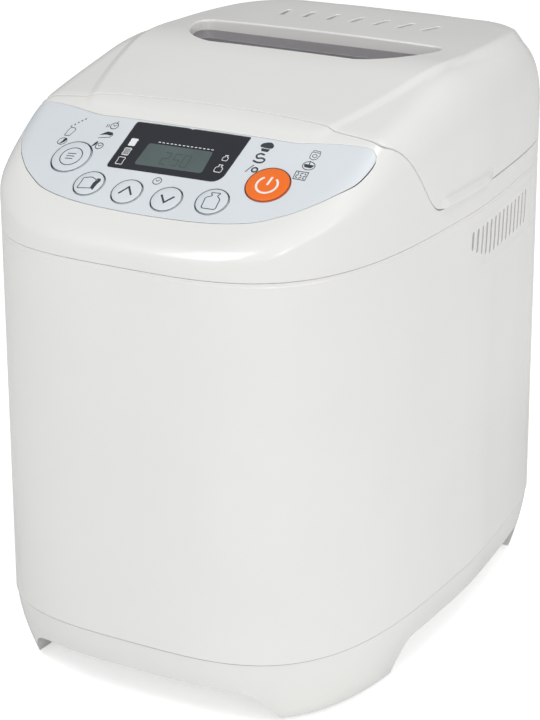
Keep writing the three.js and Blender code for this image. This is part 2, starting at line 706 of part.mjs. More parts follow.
function controlBosses() {
  const low = -BOARD_DEPTH + BOARD.thick / 2 + GAP;
  const [reachX, reachY] = [BOARD.width / 2 - 7, BOARD.height / 2 - 8];
  const spots = [-reachX, reachX].flatMap((x) => [[x, -reachY], [x, reachY]]);
  return spots.map(([x, y]) => rod(3.2, low, -1.5, x, y, 8).applyMatrix4(panelMiddle));
}

function upperFrame() {
  const zone = lidZone(0, LID_EDGE_Z - 0.6);
  const lidSkinSpace = zone.subtract(headLowered(SKIN + 3, SKIN + 3));
  const wallProfile = polygon(
    [[-81, 340], [-81, 293], [-72.5, 285], [-72.5, DECK_Z], [-70, DECK_Z], [-70, 340]]);
  const backWall = solidOf(prismX(wallProfile, -115, 115)).intersect(headLowered(2, 1.5));
  const deckRing = solidOf(loft([outlineRing(DECK_Z, 1.5), outlineRing(DECK_Z + SKIN, 1.5)]));
  const deckField = solidOf(block(-120, 120, -71.5, 170, 240, 260));
  const mouth = loft([chamberRing(0, 240), chamberRing(0, 260)]);
  const deck = cut(deckRing.intersect(deckField), mouth);
  let frame = headSkin.subtract(zone);
  frame = frame.add(backWall.subtract(lidSkinSpace)).add(deck);
  const bosses = controlBosses().map(solidOf).reduce((sum, boss) => sum.add(boss));
  frame = frame.add(bosses.intersect(headLowered(1.5)));
  for (const [from, to] of [[HINGE_INNER_X, HINGE_INNER_X + HINGE_KNUCKLE],
    [HINGE_OUTER_X - HINGE_KNUCKLE, HINGE_OUTER_X]]) {
    for (const [x0, x1] of hingeSpans(from, to)) {
      frame = frame.add(hingeBarrel(x0, x1, [HINGE_Y - 1.6, HINGE_Y + 1.6, 250, HINGE_Z]));
    }
  }
  const recess = solidOf(prism(overlayShape(GAP), 250, 320)).subtract(headLowered(OVERLAY + GAP));
  frame = frame.subtract(recess);
  return cut(frame, prism(displayShape(-3), 250, 320), hingePinBore, ...KEYS.map(keyHole));
}

// ---------------------------------------------------------------- body and base

function sideVents() {
  const slots = [];
  for (let i = 0; i < SIDE_VENTS; i += 1) {
    const y = SIDE_VENT_FRONT_Y + i * SIDE_VENT_PITCH;
    const rise = SIDE_VENT_FIRST_RISE * Math.max(0, 1 - i / 4) ** 1.3;
    const low = SIDE_VENT_LOW_Z + rise;
    const rake = SIDE_VENT_RAKE * (SIDE_VENT_TOP_Z - low) / (SIDE_VENT_TOP_Z - SIDE_VENT_LOW_Z);
    const slot = polygon([[y, SIDE_VENT_TOP_Z], [y - rake, low],
      [y - rake + SIDE_VENT_WIDTH, low], [y + SIDE_VENT_WIDTH, SIDE_VENT_TOP_Z]]);
    slots.push(prismX(slot, 90, 120), prismX(slot, -120, -90));
  }
  return slots;
}

function bodyShell() {
  const [low, top] = [BASE_SEAM_Z + GAP, BODY_TOP_Z - GAP];
  const outside = solidOf(loft([outlineRing(low), outlineRing(top)]));
  const inside = loft([outlineRing(low - 1, WALL), outlineRing(top + 1, WALL)]);
  return cut(outside, inside, rodY(GLAND.radius + GAP, 150, 170, GLAND.x, GLAND.z), ...sideVents());
}

function tuck(z) {
  return SKIRT_TUCK * (Math.max(0, 45 - z) / 45) ** 1.8;
}

function skirt(inset, heights) {
  return solidOf(loft(heights.map((z) => outlineRing(z, tuck(z) + inset))));
}

// Arch through one end of the base, so that the machine stands on four hollow corner feet.
function endArch({ foot, shoulder, lean }, grow, y0, y1) {
  const [side, top] = [foot + grow, ARCH_Z + grow];
  const shape = new THREE.Shape();
  shape.moveTo(-side, -1);
  shape.bezierCurveTo(lean - side, 0.67 * top, -shoulder - 0.6 * (side - shoulder), top, -shoulder, top);
  shape.lineTo(shoulder, top);
  shape.bezierCurveTo(shoulder + 0.6 * (side - shoulder), top, side - lean, 0.67 * top, side, -1);
  return prismY(shape, y0, y1, 4);
}

function sideArch(grow) {
  const { front, rear, bend } = SIDE_ARCH;
  const top = ARCH_Z + grow;
  const shape = new THREE.Shape();
  shape.moveTo(front - grow, -1);
  shape.quadraticCurveTo(front - grow + 2, top, front + bend, top);
  shape.lineTo(rear - bend, top);
  shape.quadraticCurveTo(rear + grow - 2, top, rear + grow, -1);
  return prismX(shape, -120, 120, 4);
}

function baseArches(grow) {
  return [endArch(FRONT_ARCH, grow, -170, 0), endArch(REAR_ARCH, grow, -1, 170), sideArch(grow)];
}

function baseTray() {
  const outside = cut(skirt(0, [SKIRT_LOW_Z, 11, 23, BASE_SEAM_Z]), ...baseArches(0));
  const hollow = cut(skirt(WALL, [SKIRT_LOW_Z + WALL, 13, 24, BASE_SEAM_Z + 1]), ...baseArches(WALL));
  const { radius, height } = FOOT_PAD;
  let tray = outside.subtract(hollow);
  for (const foot of FEET) {
    tray = tray.add(solidOf(rod(radius + WALL, SKIRT_LOW_Z + 0.5, height + WALL, foot.x, foot.y, 14)));
  }
  for (const x of [-34, 34]) {
    for (const y of [98, 140]) {
      tray = tray.add(solidOf(rod(3.5, FLOOR_TOP_Z - 1, BOARD_Z - GAP, x, y, 8)));
    }
  }
  const recesses = FEET.map((foot) => rod(radius + GAP, SKIRT_LOW_Z - 1, height + GAP, foot.x, foot.y, 14));
  const intake = roundedRectangle(2, 14, 2);
  const slots = [-40, -24, -8, 8, 24, 40].map((x) => prism(intake, 20, 30, 1).translate(x, -40, 0));
  return cut(tray, ...recesses, ...slots);
}

function footPad(foot) {
  const { radius, height } = FOOT_PAD;
  const profile = [[0, 0], [radius - 1, 0], [radius, 1], [radius, height], [0, height]];
  return turned(profile, 14).translate(foot.x, foot.y, 0);
}

function cordGland() {
  const { x, z, radius, flange, bore, innerY, flangeY, outerY } = GLAND;
  const bush = join(rodY(radius, innerY, outerY, x, z), rodY(radius + flange, innerY, flangeY, x, z));
  return cut(bush, rodY(bore, innerY - 3, outerY + 3, x, z));
}

// ---------------------------------------------------------------- baking chamber

function chamberRing(grow, z) {
  const [halfX, halfY, corner] = [CHAMBER.halfWidth + grow, CHAMBER.halfDepth + grow, CHAMBER.corner + grow];
  const shape = roundedRectangle(halfX, halfY, corner, 0, DRIVE_Y);
  return shape.getPoints(4).slice(0, -1).map((point) => new THREE.Vector3(point.x, point.y, z));
}

// Sheet-steel box with an out-turned rim, and holes for the drive, the element and the sensor.
function bakingChamber() {
  const { floorZ, rimZ, sheet, flange } = CHAMBER;
  const outside = join(loft([chamberRing(sheet, floorZ), chamberRing(sheet, rimZ)]),
    loft([chamberRing(flange, rimZ - sheet), chamberRing(flange, rimZ)]));
  const [front, back] = [CHAMBER_FRONT_Y - 6, CHAMBER_FRONT_Y + 6];
  const leads = [-ELEMENT.lead, ELEMENT.lead].map(
    (x) => rodY(ELEMENT.tube + 1.15, front, back, x, ELEMENT.z, 10));
  return cut(outside, loft([chamberRing(0, floorZ + sheet), chamberRing(0, rimZ + 1)]),
    rod(10, floorZ - 5, floorZ + 5, 0, DRIVE_Y), ...leads,
    rodY(SENSOR.tube + 0.6, front, back, SENSOR.x, SENSOR.z, 10));
}

// Folded channel that carries the chamber on the base, lightened by two round holes.
function chamberBracket(side) {
  const { inner, outer, web, sheet, frontY, rearY } = BRACKET;
  const [low, high] = [FLOOR_TOP_Z + GAP, CHAMBER.floorZ - GAP];
  const fold = [[inner, low], [outer, low], [outer, low + sheet], [web, low + sheet],
    [web, high - sheet], [outer, high - sheet], [outer, high], [inner, high]];
  const holes = [4, 64].map((y) => rodX(14, -80, 80, y, 60, 16));
  return cut(solidOf(prismY(polygon(fold.map(([x, z]) => [side * x, z])), frontY, rearY)), ...holes);
}

// Sheathed element: once round the chamber, with two leads out through the front wall.
function heatingElement() {
  const { halfWidth, halfDepth, bend, lead } = ELEMENT;
  const [front, back] = [DRIVE_Y - halfDepth + 2, DRIVE_Y + halfDepth];
  const half = [[lead, CHAMBER_FRONT_Y - 10], [lead, front, 6], [halfWidth, front, bend],
    [halfWidth, back, bend]];
  return tube(bentWire(mirrored(half), ELEMENT.z), ELEMENT.tube, 52, 6);
}

function elementClip(side) {
  const sheet = 1.6;
  const wall = CHAMBER.halfWidth - GAP;
  const near = ELEMENT.halfWidth - 5.1;
  const [low, high] = [ELEMENT.z - ELEMENT.tube - GAP, ELEMENT.z + ELEMENT.tube + GAP];
  const hook = [[wall, low - 5], [wall, high + 5], [wall - sheet, high + 5], [wall - sheet, high + sheet],
    [near, high + sheet], [near, high], [wall - sheet, high], [wall - sheet, low], [near, low],
    [near, low - sheet], [wall - sheet, low - sheet], [wall - sheet, low - 5]];
  return prismY(polygon(hook.map(([x, z]) => [side * x, z])), DRIVE_Y - 6, DRIVE_Y + 6);
}

function temperatureSensor() {
  const { x, z, tube: radius, washer } = SENSOR;
  return join(rodY(radius, CHAMBER_FRONT_Y - 8, CHAMBER_FRONT_Y + 12, x, z),
    rodY(washer, CHAMBER_FRONT_Y - 7, CHAMBER_FRONT_Y - CHAMBER.sheet - 1, x, z));
}

// Cartridge on its strap, against the outside of the chamber's front wall.
function thermalFuse() {
  const { x, z, tube: radius } = FUSE;
  const y = CHAMBER_FRONT_Y - 1.6;
  return join(rodX(radius, x - 7, x + 7, y - 3.9, z + 2),
    block(x - 11, x + 11, y - 2.8, y, z - 2, z), block(x - 4, x + 4, y - 4.4, y, z - 2, z + 1));
}

// ---------------------------------------------------------------- pan, handle and paddle

function panRing(grow, draft, z) {
  const halfWidth = PAN.halfWidth - draft + grow;
  const halfDepth = PAN.halfDepth - draft + grow;
  const shape = roundedRectangle(halfWidth, halfDepth, PAN.corner + grow, 0, DRIVE_Y);
  return shape.getPoints(3).slice(0, -1).map((point) => new THREE.Vector3(point.x, point.y, z));
}

// Deep-drawn pan: drafted walls, rounded foot, rolled lip, two riveted ears and a fitting skirt.
function breadPan() {
  const { floorZ, rimZ, sheet, draft, lip } = PAN;
  const bowl = loft([panRing(-5, draft, floorZ), panRing(-1, draft, floorZ + 3),
    panRing(0, draft, floorZ + 8), panRing(0, 0, rimZ)]);
  const inside = loft([panRing(-5.5, draft, floorZ + sheet), panRing(-1 - sheet, draft, floorZ + 4),
    panRing(-sheet, draft, floorZ + 9), panRing(-sheet, 0, rimZ + 1)]);
  const edge = loft([panRing(lip, 0, rimZ - 1.4), panRing(lip, 0, rimZ)]);
  const ears = [1, -1].map((side) => {
    const ear = new THREE.Shape();
    ear.moveTo(DRIVE_Y - EAR.foot, rimZ - 10);
    ear.lineTo(DRIVE_Y + EAR.foot, rimZ - 10);
    ear.lineTo(DRIVE_Y + EAR.round, PIVOT_Z);
    ear.absarc(DRIVE_Y, PIVOT_Z, EAR.round, 0, Math.PI);
    const plate = side * (PAN.halfWidth - 1);
    const inner = plate - side * EAR.thick;
    return prismX(ear, Math.min(plate, inner), Math.max(plate, inner), 4);
  });
  const fitting = [[28, floorZ - 9], [31.5, floorZ - 9], [31.5, floorZ + 1], [28, floorZ + 1]];
  const shell = join(bowl, edge, ...ears, turnedRing(fitting, 20).translate(0, DRIVE_Y, 0));
  const bore = rod(SHAFT + 1.2, floorZ - 14, floorZ + 16, 0, DRIVE_Y);
  const pivots = rodX(HANDLE.wire + 0.6, -80, 80, DRIVE_Y, PIVOT_Z);
  return cut(cut(shell, inside).add(join(...ears)), bore, pivots);
}

function panBush() {
  const z = PAN.floorZ + PAN.sheet + GAP;
  const profile = [[SHAFT_BORE, z], [13, z], [13, z + 2], [8, z + 5], [7, z + 11], [SHAFT_BORE, z + 11]];
  return turnedRing(profile, 16).translate(0, DRIVE_Y, 0);
}

// Bail that lies along the rim, its ends turned into the ears of the pan.
function panHandle() {
  const { halfWidth, rearY, bend, hook, wire, end } = HANDLE;
  const half = [[end, DRIVE_Y], [halfWidth, DRIVE_Y, hook], [halfWidth, rearY, bend]];
  return tube(bentWire(mirrored(half), PIVOT_Z), wire, 42, 6);
}

// Stem through the pan's floor, with a cross pin that the coupling turns.
function paddleShaft() {
  const low = COUPLING.topZ + 1;
  const stem = turned([[0, low], [SHAFT, low], [SHAFT, 133], [SHAFT - 1.2, 135], [0, 135]], 14);
  return join(stem, block(-12, 12, -3, 3, low, low + 5));
}

// Hub and a swept fin, wide at the foot and rounded at the tip.
function kneadingPaddle() {
  const { lowZ, hubTopZ, hub, fin } = PADDLE;
  const boss = turnedRing([[SHAFT_BORE, lowZ], [hub, lowZ], [hub - 1.4, hubTopZ], [SHAFT_BORE, hubTopZ]], 16);
  const sail = new THREE.Shape();
  sail.moveTo(4.8, lowZ + 0.5);
  sail.lineTo(44, lowZ + 0.5);
  sail.quadraticCurveTo(50, lowZ + 1.5, 48, lowZ + 8.5);
  sail.bezierCurveTo(40, 136, 24, 150, 13, 150);
  sail.quadraticCurveTo(6.5, 149, 6, hubTopZ - 0.5);
  return cut(join(boss, prismY(sail, -fin, fin)), rod(SHAFT_BORE, 110, hubTopZ - 0.1));
}

// ---------------------------------------------------------------- drive train

// Ring on the chamber floor that the pan's skirt twists into.
function panSocket() {
  const z = CHAMBER.floorZ + CHAMBER.sheet + GAP;
  const ring = turnedRing([[33, z], [41, z], [41, z + 1.5], [37, z + 1.5], [37, z + 11], [33, z + 11]], 20);
  return cut(solidOf(ring), block(-5, 5, -50, 50, z + 4, z + 13));
}

// Disc with two dogs that drive the cross pin of the paddle shaft.
function driveCoupling() {
  const { lowZ, discZ, topZ, hub, disc } = COUPLING;
  const profile = [[SHAFT_BORE, lowZ], [hub, lowZ], [hub, discZ], [disc, discZ], [disc, topZ],
    [SHAFT_BORE, topZ]];
  const dogs = [5, -10].map((y) => block(-4, 4, y, y + 5, topZ - 1, topZ + 5));
  return join(turnedRing(profile, 16), ...dogs);
}

function driveShaft() {
  const [low, top] = [PULLEY_LOW_Z - 3, COUPLING.topZ - 1];
  return turned([[0, low], [SHAFT - 0.6, low], [SHAFT, low + 1], [SHAFT, top], [0, top]], 14);
}

function bearingHousing() {
  const { lowZ, neckZ, seatZ, topZ, neck, flange } = BEARING;
  const recess = COUPLING.hub + 0.4;
  return turnedRing([[SHAFT_BORE, lowZ], [neck, lowZ], [neck + 1.5, neckZ], [flange, seatZ], [flange, topZ],
    [recess, topZ], [recess, seatZ], [SHAFT_BORE, seatZ]], 18);
}

// Grooved wheel: flat running face between two lips, a dished web and a hub.
function largePulley() {
  const [low, top, face, lip] = [PULLEY_LOW_Z, PULLEY_TOP_Z, LARGE_PULLEY, LARGE_PULLEY + PULLEY_LIP];
  const [rim, hub] = [face - 5, 9];
  const wheel = turnedRing([[SHAFT_BORE, low], [hub, low], [hub, low + 4], [rim, low + 4], [rim, low],
    [lip, low], [lip, low + PULLEY_RIM], [face, low + PULLEY_RIM], [face, top - PULLEY_RIM],
    [lip, top - PULLEY_RIM],
    [lip, top], [rim, top], [rim, low + 7], [hub, low + 7], [hub, top], [SHAFT_BORE, top]], 24);
  const holes = [0, 1, 2, 3, 4].map((i) => rod(8, low - 4, top, 25, 0, 8).rotateZ(i / 5 * Math.PI * 2));
  return cut(solidOf(wheel), ...holes);
}

function motorPulley() {
  const [low, top, face, lip] = [PULLEY_LOW_Z, PULLEY_TOP_Z, SMALL_PULLEY, SMALL_PULLEY + PULLEY_LIP];
  const bore = MOTOR.shaft + GAP;
  return turnedRing([[bore, low], [lip, low], [lip, low + PULLEY_RIM], [face, low + PULLEY_RIM],
    [face, top - PULLEY_RIM], [lip, top - PULLEY_RIM], [lip, top], [bore, top]], 16);
}

// Closed band round both pulleys, with straight runs along their common tangents.
function beltBand(grow) {
  const lean = Math.asin((LARGE_PULLEY - SMALL_PULLEY) / (DRIVE_Y - MOTOR.y));
  const band = new THREE.Shape();
  band.absarc(0, DRIVE_Y, LARGE_PULLEY + grow, -lean, Math.PI + lean);
  band.absarc(0, MOTOR.y, SMALL_PULLEY + grow, Math.PI + lean, Math.PI * 2 - lean);
  return band;
}

function driveBelt() {
  const [low, top] = [PULLEY_LOW_Z + PULLEY_RIM + GAP, PULLEY_TOP_Z - PULLEY_RIM - GAP];
  return cut(solidOf(prism(beltBand(GAP + BELT), low, top, 11)), prism(beltBand(GAP), low - 1, top + 1, 11));
}

// Can in two halves with a waist between them, and four lugs to screw down.
function motorHousing() {
  const { radius, lowZ, waistZ, topZ, shaft } = MOTOR;
  const bore = shaft + 0.4;
  const can = turnedRing([[bore, lowZ], [radius - 3, lowZ], [radius, lowZ + 3], [radius, waistZ - 6],
    [radius - 2, waistZ - 4], [radius - 2, waistZ + 4], [radius, waistZ + 6], [radius, topZ - 3],
    [radius - 3, topZ], [bore, topZ]], 20);
  const lugs = [45, 135, 225, 315].map((degrees) => {
    const lug = roundedRectangle(6, 6, 3, radius, 0);
    return prism(lug, lowZ, lowZ + 5, 2).rotateZ(THREE.MathUtils.degToRad(degrees));
  });
  return cut(join(can, ...lugs), rod(bore, lowZ - 1, topZ + 1, 0, 0, 12));
}

function motorShaft() {
  const low = PULLEY_LOW_Z - 1.5;
  return turned([[0, low], [MOTOR.shaft, low], [MOTOR.shaft, MOTOR.shaftTopZ], [0, MOTOR.shaftTopZ]], 12);
}

function coolingFan() {
  const { lowZ, topZ, hub, blades, blade, pitch } = FAN;
  const vanes = Array.from({ length: blades }, (_, i) => {
    const vane = new THREE.BoxGeometry(blade, 1.6, topZ - lowZ + 1).rotateX(pitch);
    return vane.translate(hub + blade / 2 - 2, 0, (lowZ + topZ) / 2).rotateZ(i / blades * Math.PI * 2);
  });
  const bore = rod(MOTOR.shaft + GAP, lowZ - 8, topZ + 12);
  return cut(join(rod(hub, lowZ, topZ, 0, 0, 14), ...vanes), bore);
}

// Plate on four legs that carries the motor over the base.
function motorBracket() {
  const { z, thick, halfX, halfY, leg } = MOTOR_PLATE;
  const middle = MOTOR.y - 1;
  const plate = prism(roundedRectangle(halfX, halfY, 8, 0, middle), z, z + thick, 4);
  const legs = [-halfX + 6, halfX - 6].flatMap((x) => [middle - halfY + 8, middle + halfY - 8]
    .map((y) => rod(leg, FLOOR_TOP_Z + GAP, z + 1, x, y, 8)));
  return cut(join(plate, ...legs), rod(15, z - 9, z + 11, 0, MOTOR.y));
}

// Supply board: relay, line filter, reservoir capacitor and terminal strip on one plate.
function powerBoard() {
  const top = BOARD_Z + BOARD.thick;
  const plate = prism(roundedRectangle(40, 26, 2, 0, 119), BOARD_Z, top, 2);
  const relay = block(-34, -12, 104, 124, top - 0.6, top + 16.4);
  const filter = block(-6, 10, 100, 112, top - 0.6, top + 12.4);
  const reservoir = rod(7, top - 0.6, top + 18.4, 24, 112, 14);
  const terminals = block(-4, 30, 126, 138, top - 0.6, top + 8.4);
  return join(plate, relay, filter, reservoir, terminals);
}

function capacitor() {
  const { x, y, radius, height } = CAPACITOR;
  const z = FLOOR_TOP_Z + GAP;
  const profile = [[0, z], [radius - 1, z], [radius, z + 1], [radius, z + height - 2],
    [radius - 2, z + height], [0, z + height]];
  return turned(profile, 14).translate(x, y, 0);
}

// ---------------------------------------------------------------- assembly

const WHITE = { color: 0xf0f1f2, roughness: 0.22, metalness: 0 };
const OVERLAY_BLUE = { color: 0xd5dde5, roughness: 0.4, metalness: 0 };
const SLATE = { color: 0x2d303a, roughness: 0.15, metalness: 0 };
const GLASS = { color: 0x6a6570, roughness: 0.05, metalness: 0 };
const RUBBER = { color: 0x2b2b2b, roughness: 0.85, metalness: 0 };
const STEEL = { color: 0xb9bcc0, roughness: 0.35, metalness: 1 };
const DARK_STEEL = { color: 0x5f6166, roughness: 0.5, metalness: 0.8 };
const NONSTICK = { color: 0x3c3d40, roughness: 0.45, metalness: 0.3 };
const BOARD_GREEN = { color: 0x2f6b45, roughness: 0.5, metalness: 0 };
const BLACK = { color: 0x1f2022, roughness: 0.6, metalness: 0 };
const BRASS = { color: 0xb99555, roughness: 0.35, metalness: 1 };
const SILICONE = { color: 0x8d9196, roughness: 0.8, metalness: 0 };

const breadMachine = new THREE.Group();

function place(name, form, finish, x = 0, y = 0) {
  const geometry = form instanceof THREE.BufferGeometry ? closed(form) : geometryOf(form);
  const mesh = new THREE.Mesh(geometry, new THREE.MeshStandardMaterial(finish));
  mesh.name = name;
  mesh.position.set(x, y, 0);
  breadMachine.add(mesh);
}

place('base_tray', baseTray(), WHITE);
for (const foot of FEET) {
  place(foot.name, footPad(foot), RUBBER);
}
place('body_shell', bodyShell(), WHITE);
place('upper_frame', upperFrame(), WHITE);
place('cord_gland', cordGland(), BLACK);

place('lid_cover', lidCover(), WHITE);
place('lid_liner', lidLiner(), STEEL);
place('lid_seal', sealRing(), SILICONE);
place('window_glass_outer', prism(windowShape(-GAP), WINDOW_GLASS_Z, WINDOW_GLASS_Z + WINDOW_GLASS), GLASS);
place('window_glass_inner', prism(windowShape(-WALL - 1 - GAP), LINER_Z - 1, LINER_Z + 2), GLASS);
for (const [side, [x0, x1]] of hingeSpans(HINGE_INNER_X + GAP, HINGE_OUTER_X - GAP).entries()) {
  place(side ? 'hinge_pin_right' : 'hinge_pin_left', rodX(HINGE_PIN, x0, x1, HINGE_Y, HINGE_Z, 8), STEEL);
}

place('panel_overlay', panelOverlay(), OVERLAY_BLUE);
place('display_window', displayWindow(), SLATE);
place('lcd_module', lcdModule(), BLACK);
place('control_board', controlBoard(), BOARD_GREEN);
for (const key of KEYS) {
  place(key.name, keyCap(key), { color: key.colour, roughness: 0.35, metalness: 0 });
}

place('baking_chamber', bakingChamber(), STEEL);
place('chamber_bracket_left', chamberBracket(-1), STEEL);
place('chamber_bracket_right', chamberBracket(1), STEEL);
place('heating_element', heatingElement(), DARK_STEEL);
place('element_clip_left', elementClip(-1), STEEL);
place('element_clip_right', elementClip(1), STEEL);
place('temperature_sensor', temperatureSensor(), STEEL);
place('thermal_fuse', thermalFuse(), BRASS);

place('bread_pan', breadPan(), NONSTICK);
place('pan_bush', panBush(), BRASS);
place('pan_handle', panHandle(), STEEL);
place('paddle_shaft', paddleShaft(), STEEL, 0, DRIVE_Y);
place('kneading_paddle', kneadingPaddle(), NONSTICK, 0, DRIVE_Y);

place('pan_socket', panSocket(), STEEL, 0, DRIVE_Y);
place('drive_coupling', driveCoupling(), BLACK, 0, DRIVE_Y);
place('drive_shaft', driveShaft(), STEEL, 0, DRIVE_Y);
place('bearing_housing', bearingHousing(), STEEL, 0, DRIVE_Y);
place('large_pulley', largePulley(), BLACK, 0, DRIVE_Y);
place('drive_belt', driveBelt(), BLACK);
place('motor_bracket', motorBracket(), STEEL);
place('motor_housing', motorHousing(), STEEL, 0, MOTOR.y);
place('motor_shaft', motorShaft(), STEEL, 0, MOTOR.y);
place('motor_pulley', motorPulley(), STEEL, 0, MOTOR.y);
place('cooling_fan', coolingFan(), BLACK, 0, MOTOR.y);
place('motor_capacitor', capacitor(), BLACK);
place('power_board', powerBoard(), BOARD_GREEN);

export default breadMachine;
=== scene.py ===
import math

import bmesh
import bpy
import numpy as np
from mathutils import Matrix, Vector
from mathutils.geometry import tessellate_polygon


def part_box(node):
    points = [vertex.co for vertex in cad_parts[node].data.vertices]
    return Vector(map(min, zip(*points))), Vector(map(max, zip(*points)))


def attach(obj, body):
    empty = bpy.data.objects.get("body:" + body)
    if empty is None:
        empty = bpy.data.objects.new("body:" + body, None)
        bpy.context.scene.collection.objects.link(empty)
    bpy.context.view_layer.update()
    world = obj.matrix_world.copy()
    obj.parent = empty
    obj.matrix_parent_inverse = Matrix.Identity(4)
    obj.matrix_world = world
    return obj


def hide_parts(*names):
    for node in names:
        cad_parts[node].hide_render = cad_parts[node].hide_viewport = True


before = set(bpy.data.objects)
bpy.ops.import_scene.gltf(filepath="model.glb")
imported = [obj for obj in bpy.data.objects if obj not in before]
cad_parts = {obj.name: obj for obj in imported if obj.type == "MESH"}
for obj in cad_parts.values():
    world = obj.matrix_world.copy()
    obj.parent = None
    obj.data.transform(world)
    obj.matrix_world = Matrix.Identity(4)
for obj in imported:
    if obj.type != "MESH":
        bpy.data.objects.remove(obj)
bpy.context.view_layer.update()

# ------------------------------------------------------------------ sizes, in millimetres

MM = 0.001


def box_of(node):
    """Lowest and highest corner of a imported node."""
    low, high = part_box(node)
    return np.array(low) / MM, np.array(high) / MM


BODY_LOW, BODY_HIGH = box_of("body_shell")
FRAME_LOW, FRAME_HIGH = box_of("upper_frame")
TRAY_LOW, TRAY_HIGH = box_of("base_tray")
LINER_LOW, LINER_HIGH = box_of("lid_liner")

HALF_WIDTH_LOW = BODY_HIGH[0]
HALF_WIDTH_TOP = FRAME_HIGH[0]
FRONT_LOW = 161.5
FRONT_TOP = -FRAME_LOW[1]
REAR = FRAME_HIGH[1]
FRONT_POWER = 3.46
REAR_POWER = 5.8
REAR_TAPER = 0.00094
TAPER_EASE = 40
BASE_SEAM_Z = TRAY_HIGH[2]
FRAME_FOOT_Z = FRAME_LOW[2]
LID_EDGE_Z = 255.5
SHELL = 2.5
DECK_Z = 248.5
FAR = 1e3
CLEAR = 50

# Crown of the head: slope of the panel, front of the lid, roof, and the raised field with a step round it.
PANEL_Z, PANEL_SLOPE = 351.8, 0.589
LID_FRONT_Z, LID_FRONT_SLOPE = 323.2, 0.231
ROOF_Z, ROOF_DROP, ROOF_LENGTH = 322.9, 3.1, 134
FIELD_HALF_WIDTH, FIELD_WIDEST_Y, FIELD_NARROWING = 93, 47, 0.0014
FIELD_FRONT_Y, FIELD_REAR_Y, FIELD_EDGE = -84, 135, 3
SIDE_STEP, REAR_STEP, REAR_STEP_Y = 2.6, 5, 95
SIDE_CROWN, SIDE_CROWN_REACH = 1.4, 90
SHOULDER_POWER = 2.6
FRONT_FILLET = 6.5
SHOULDER = {"side": 21, "front": 9.5, "rear": 45}
WALL_TOP = {"side": 270, "front": 260, "rear": 265}
RIDGE_Y = 23

# Seam between the lid and the frame, with the tongue of the frame behind it and a cross wall on either side.
SEAM_GAP, FILM_GAP = 0.5, 0.15
SEAM_RISE, SEAM_TURN_Y, SEAM_LENGTH, SEAM_TOP_Y = 42, -31, 47, -80.5
TONGUE = {"reach": 3.2, "rear": 148, "thick": 1.2, "edge": 0.3, "behind": 0.4}
LID_WALL = {"y": -66.5, "under": SHELL + 0.02, "half_width": 98}
FRAME_WALL = {"y": -72.5, "under": 4.3, "half_width": 103}
LEDGE = {"front": -30, "rear": 33.5, "proud": 2.1, "top": 262.4, "low": 259.9, "inner": 95, "outer": 105}

WINDOW = {
    "half_width": 76.5, "front": -3.6, "rear": 45.5, "rear_corner": 8, "pane_low": 313.6, "pane_high": 316.4,
    "pane_dome": 0.6, "sweep_start": 44, "sweep_in": 7.5, "sweep_back": 5.4, "sweep_end": 35,
    "cut_above": 290, "rim_above": 315, "rim_before": 40,
}
STEAM_VENTS = {"count": 7, "pitch": 15.5, "y": 85.3, "length": 18, "width": 3, "fan": 0.004}
SIDE_VENTS = {
    "count": 14, "front": 7.8, "pitch": 6.88, "top": 233, "low": 214.3, "rise": 8.7, "width": 2.9,
    "rake": 2.5,
}
VENT_ZONE = {"flank": 95, "low": 205, "high": 240, "front": -5, "rear": 110}
HINGE = {
    "y": 161.4, "z": 259.6, "radius": 2.4, "bore": 1.4, "inner": 34, "outer": 60, "knuckle": 6,
    "notch_z": 263.4, "notch_behind": 150, "gap": 0.4,
}
MOUTH = {"half_width": 86, "front": -56, "rear": 124, "corner": 22}
DECK = {"thick": 2.6, "inset": SHELL + 0.3, "front": -69.9}
LID_RIM = {"low": 1.2, "high": 3, "inset": SHELL + 2.5, "front": -63, "lap": 6, "corner": 20}
GLAND = {"behind": 140, "grip": 2.2}

# ------------------------------------------------------------------ small helpers


def unit(rows):
    """Vectors of length one."""
    return rows / (np.linalg.norm(rows, axis=-1, keepdims=True) + 1e-12)


def lerp(a, b, share):
    """The value a share of the way from a to b."""
    return a + (b - a) * share


def smooth(value, low, high):
    """A step from 0 at low to 1 at high, with level ends."""
    share = np.clip((value - low) / (high - low), 0, 1)
    return share * share * (3 - 2 * share)


def blend_low(a, b, reach):
    """The lower of two values, blended where they are closer than reach."""
    share = np.clip(0.5 + 0.5 * (b - a) / reach, 0, 1)
    return lerp(b, a, share) - reach * share * (1 - share)


def blend_high(a, b, reach):
    """The higher of two values, blended in the same way."""
    return -blend_low(-a, -b, reach)


def rounded(corners, step=6):
    """Closed outline through [x, y, radius] corners, with an arc at each corner."""
    points = []
    count = len(corners)
    for i, (x, y, radius) in enumerate(corners):
        here = np.array([x, y], float)
        before = np.array(corners[i - 1][:2], float) - here
        after = np.array(corners[(i + 1) % count][:2], float) - here
        before /= np.linalg.norm(before)
        after /= np.linalg.norm(after)
        turn = math.pi - math.acos(float(np.clip(before @ after, -1, 1)))
        if radius <= 0 or turn < 1e-3:
            points.append(here)
            continue
        back = radius * math.tan(turn / 2)
        middle = here + (before + after) / np.linalg.norm(before + after) * radius / math.cos(turn / 2)
        first = here + before * back - middle
        steps = max(2, int(math.degrees(turn) / step))
        sign = 1 if before[0] * after[1] - before[1] * after[0] < 0 else -1
        for k in range(steps + 1):
            angle = sign * turn * k / steps
            c, s = math.cos(angle), math.sin(angle)
            points.append(middle + np.array([c * first[0] - s * first[1], s * first[0] + c * first[1]]))
    return np.array(points)


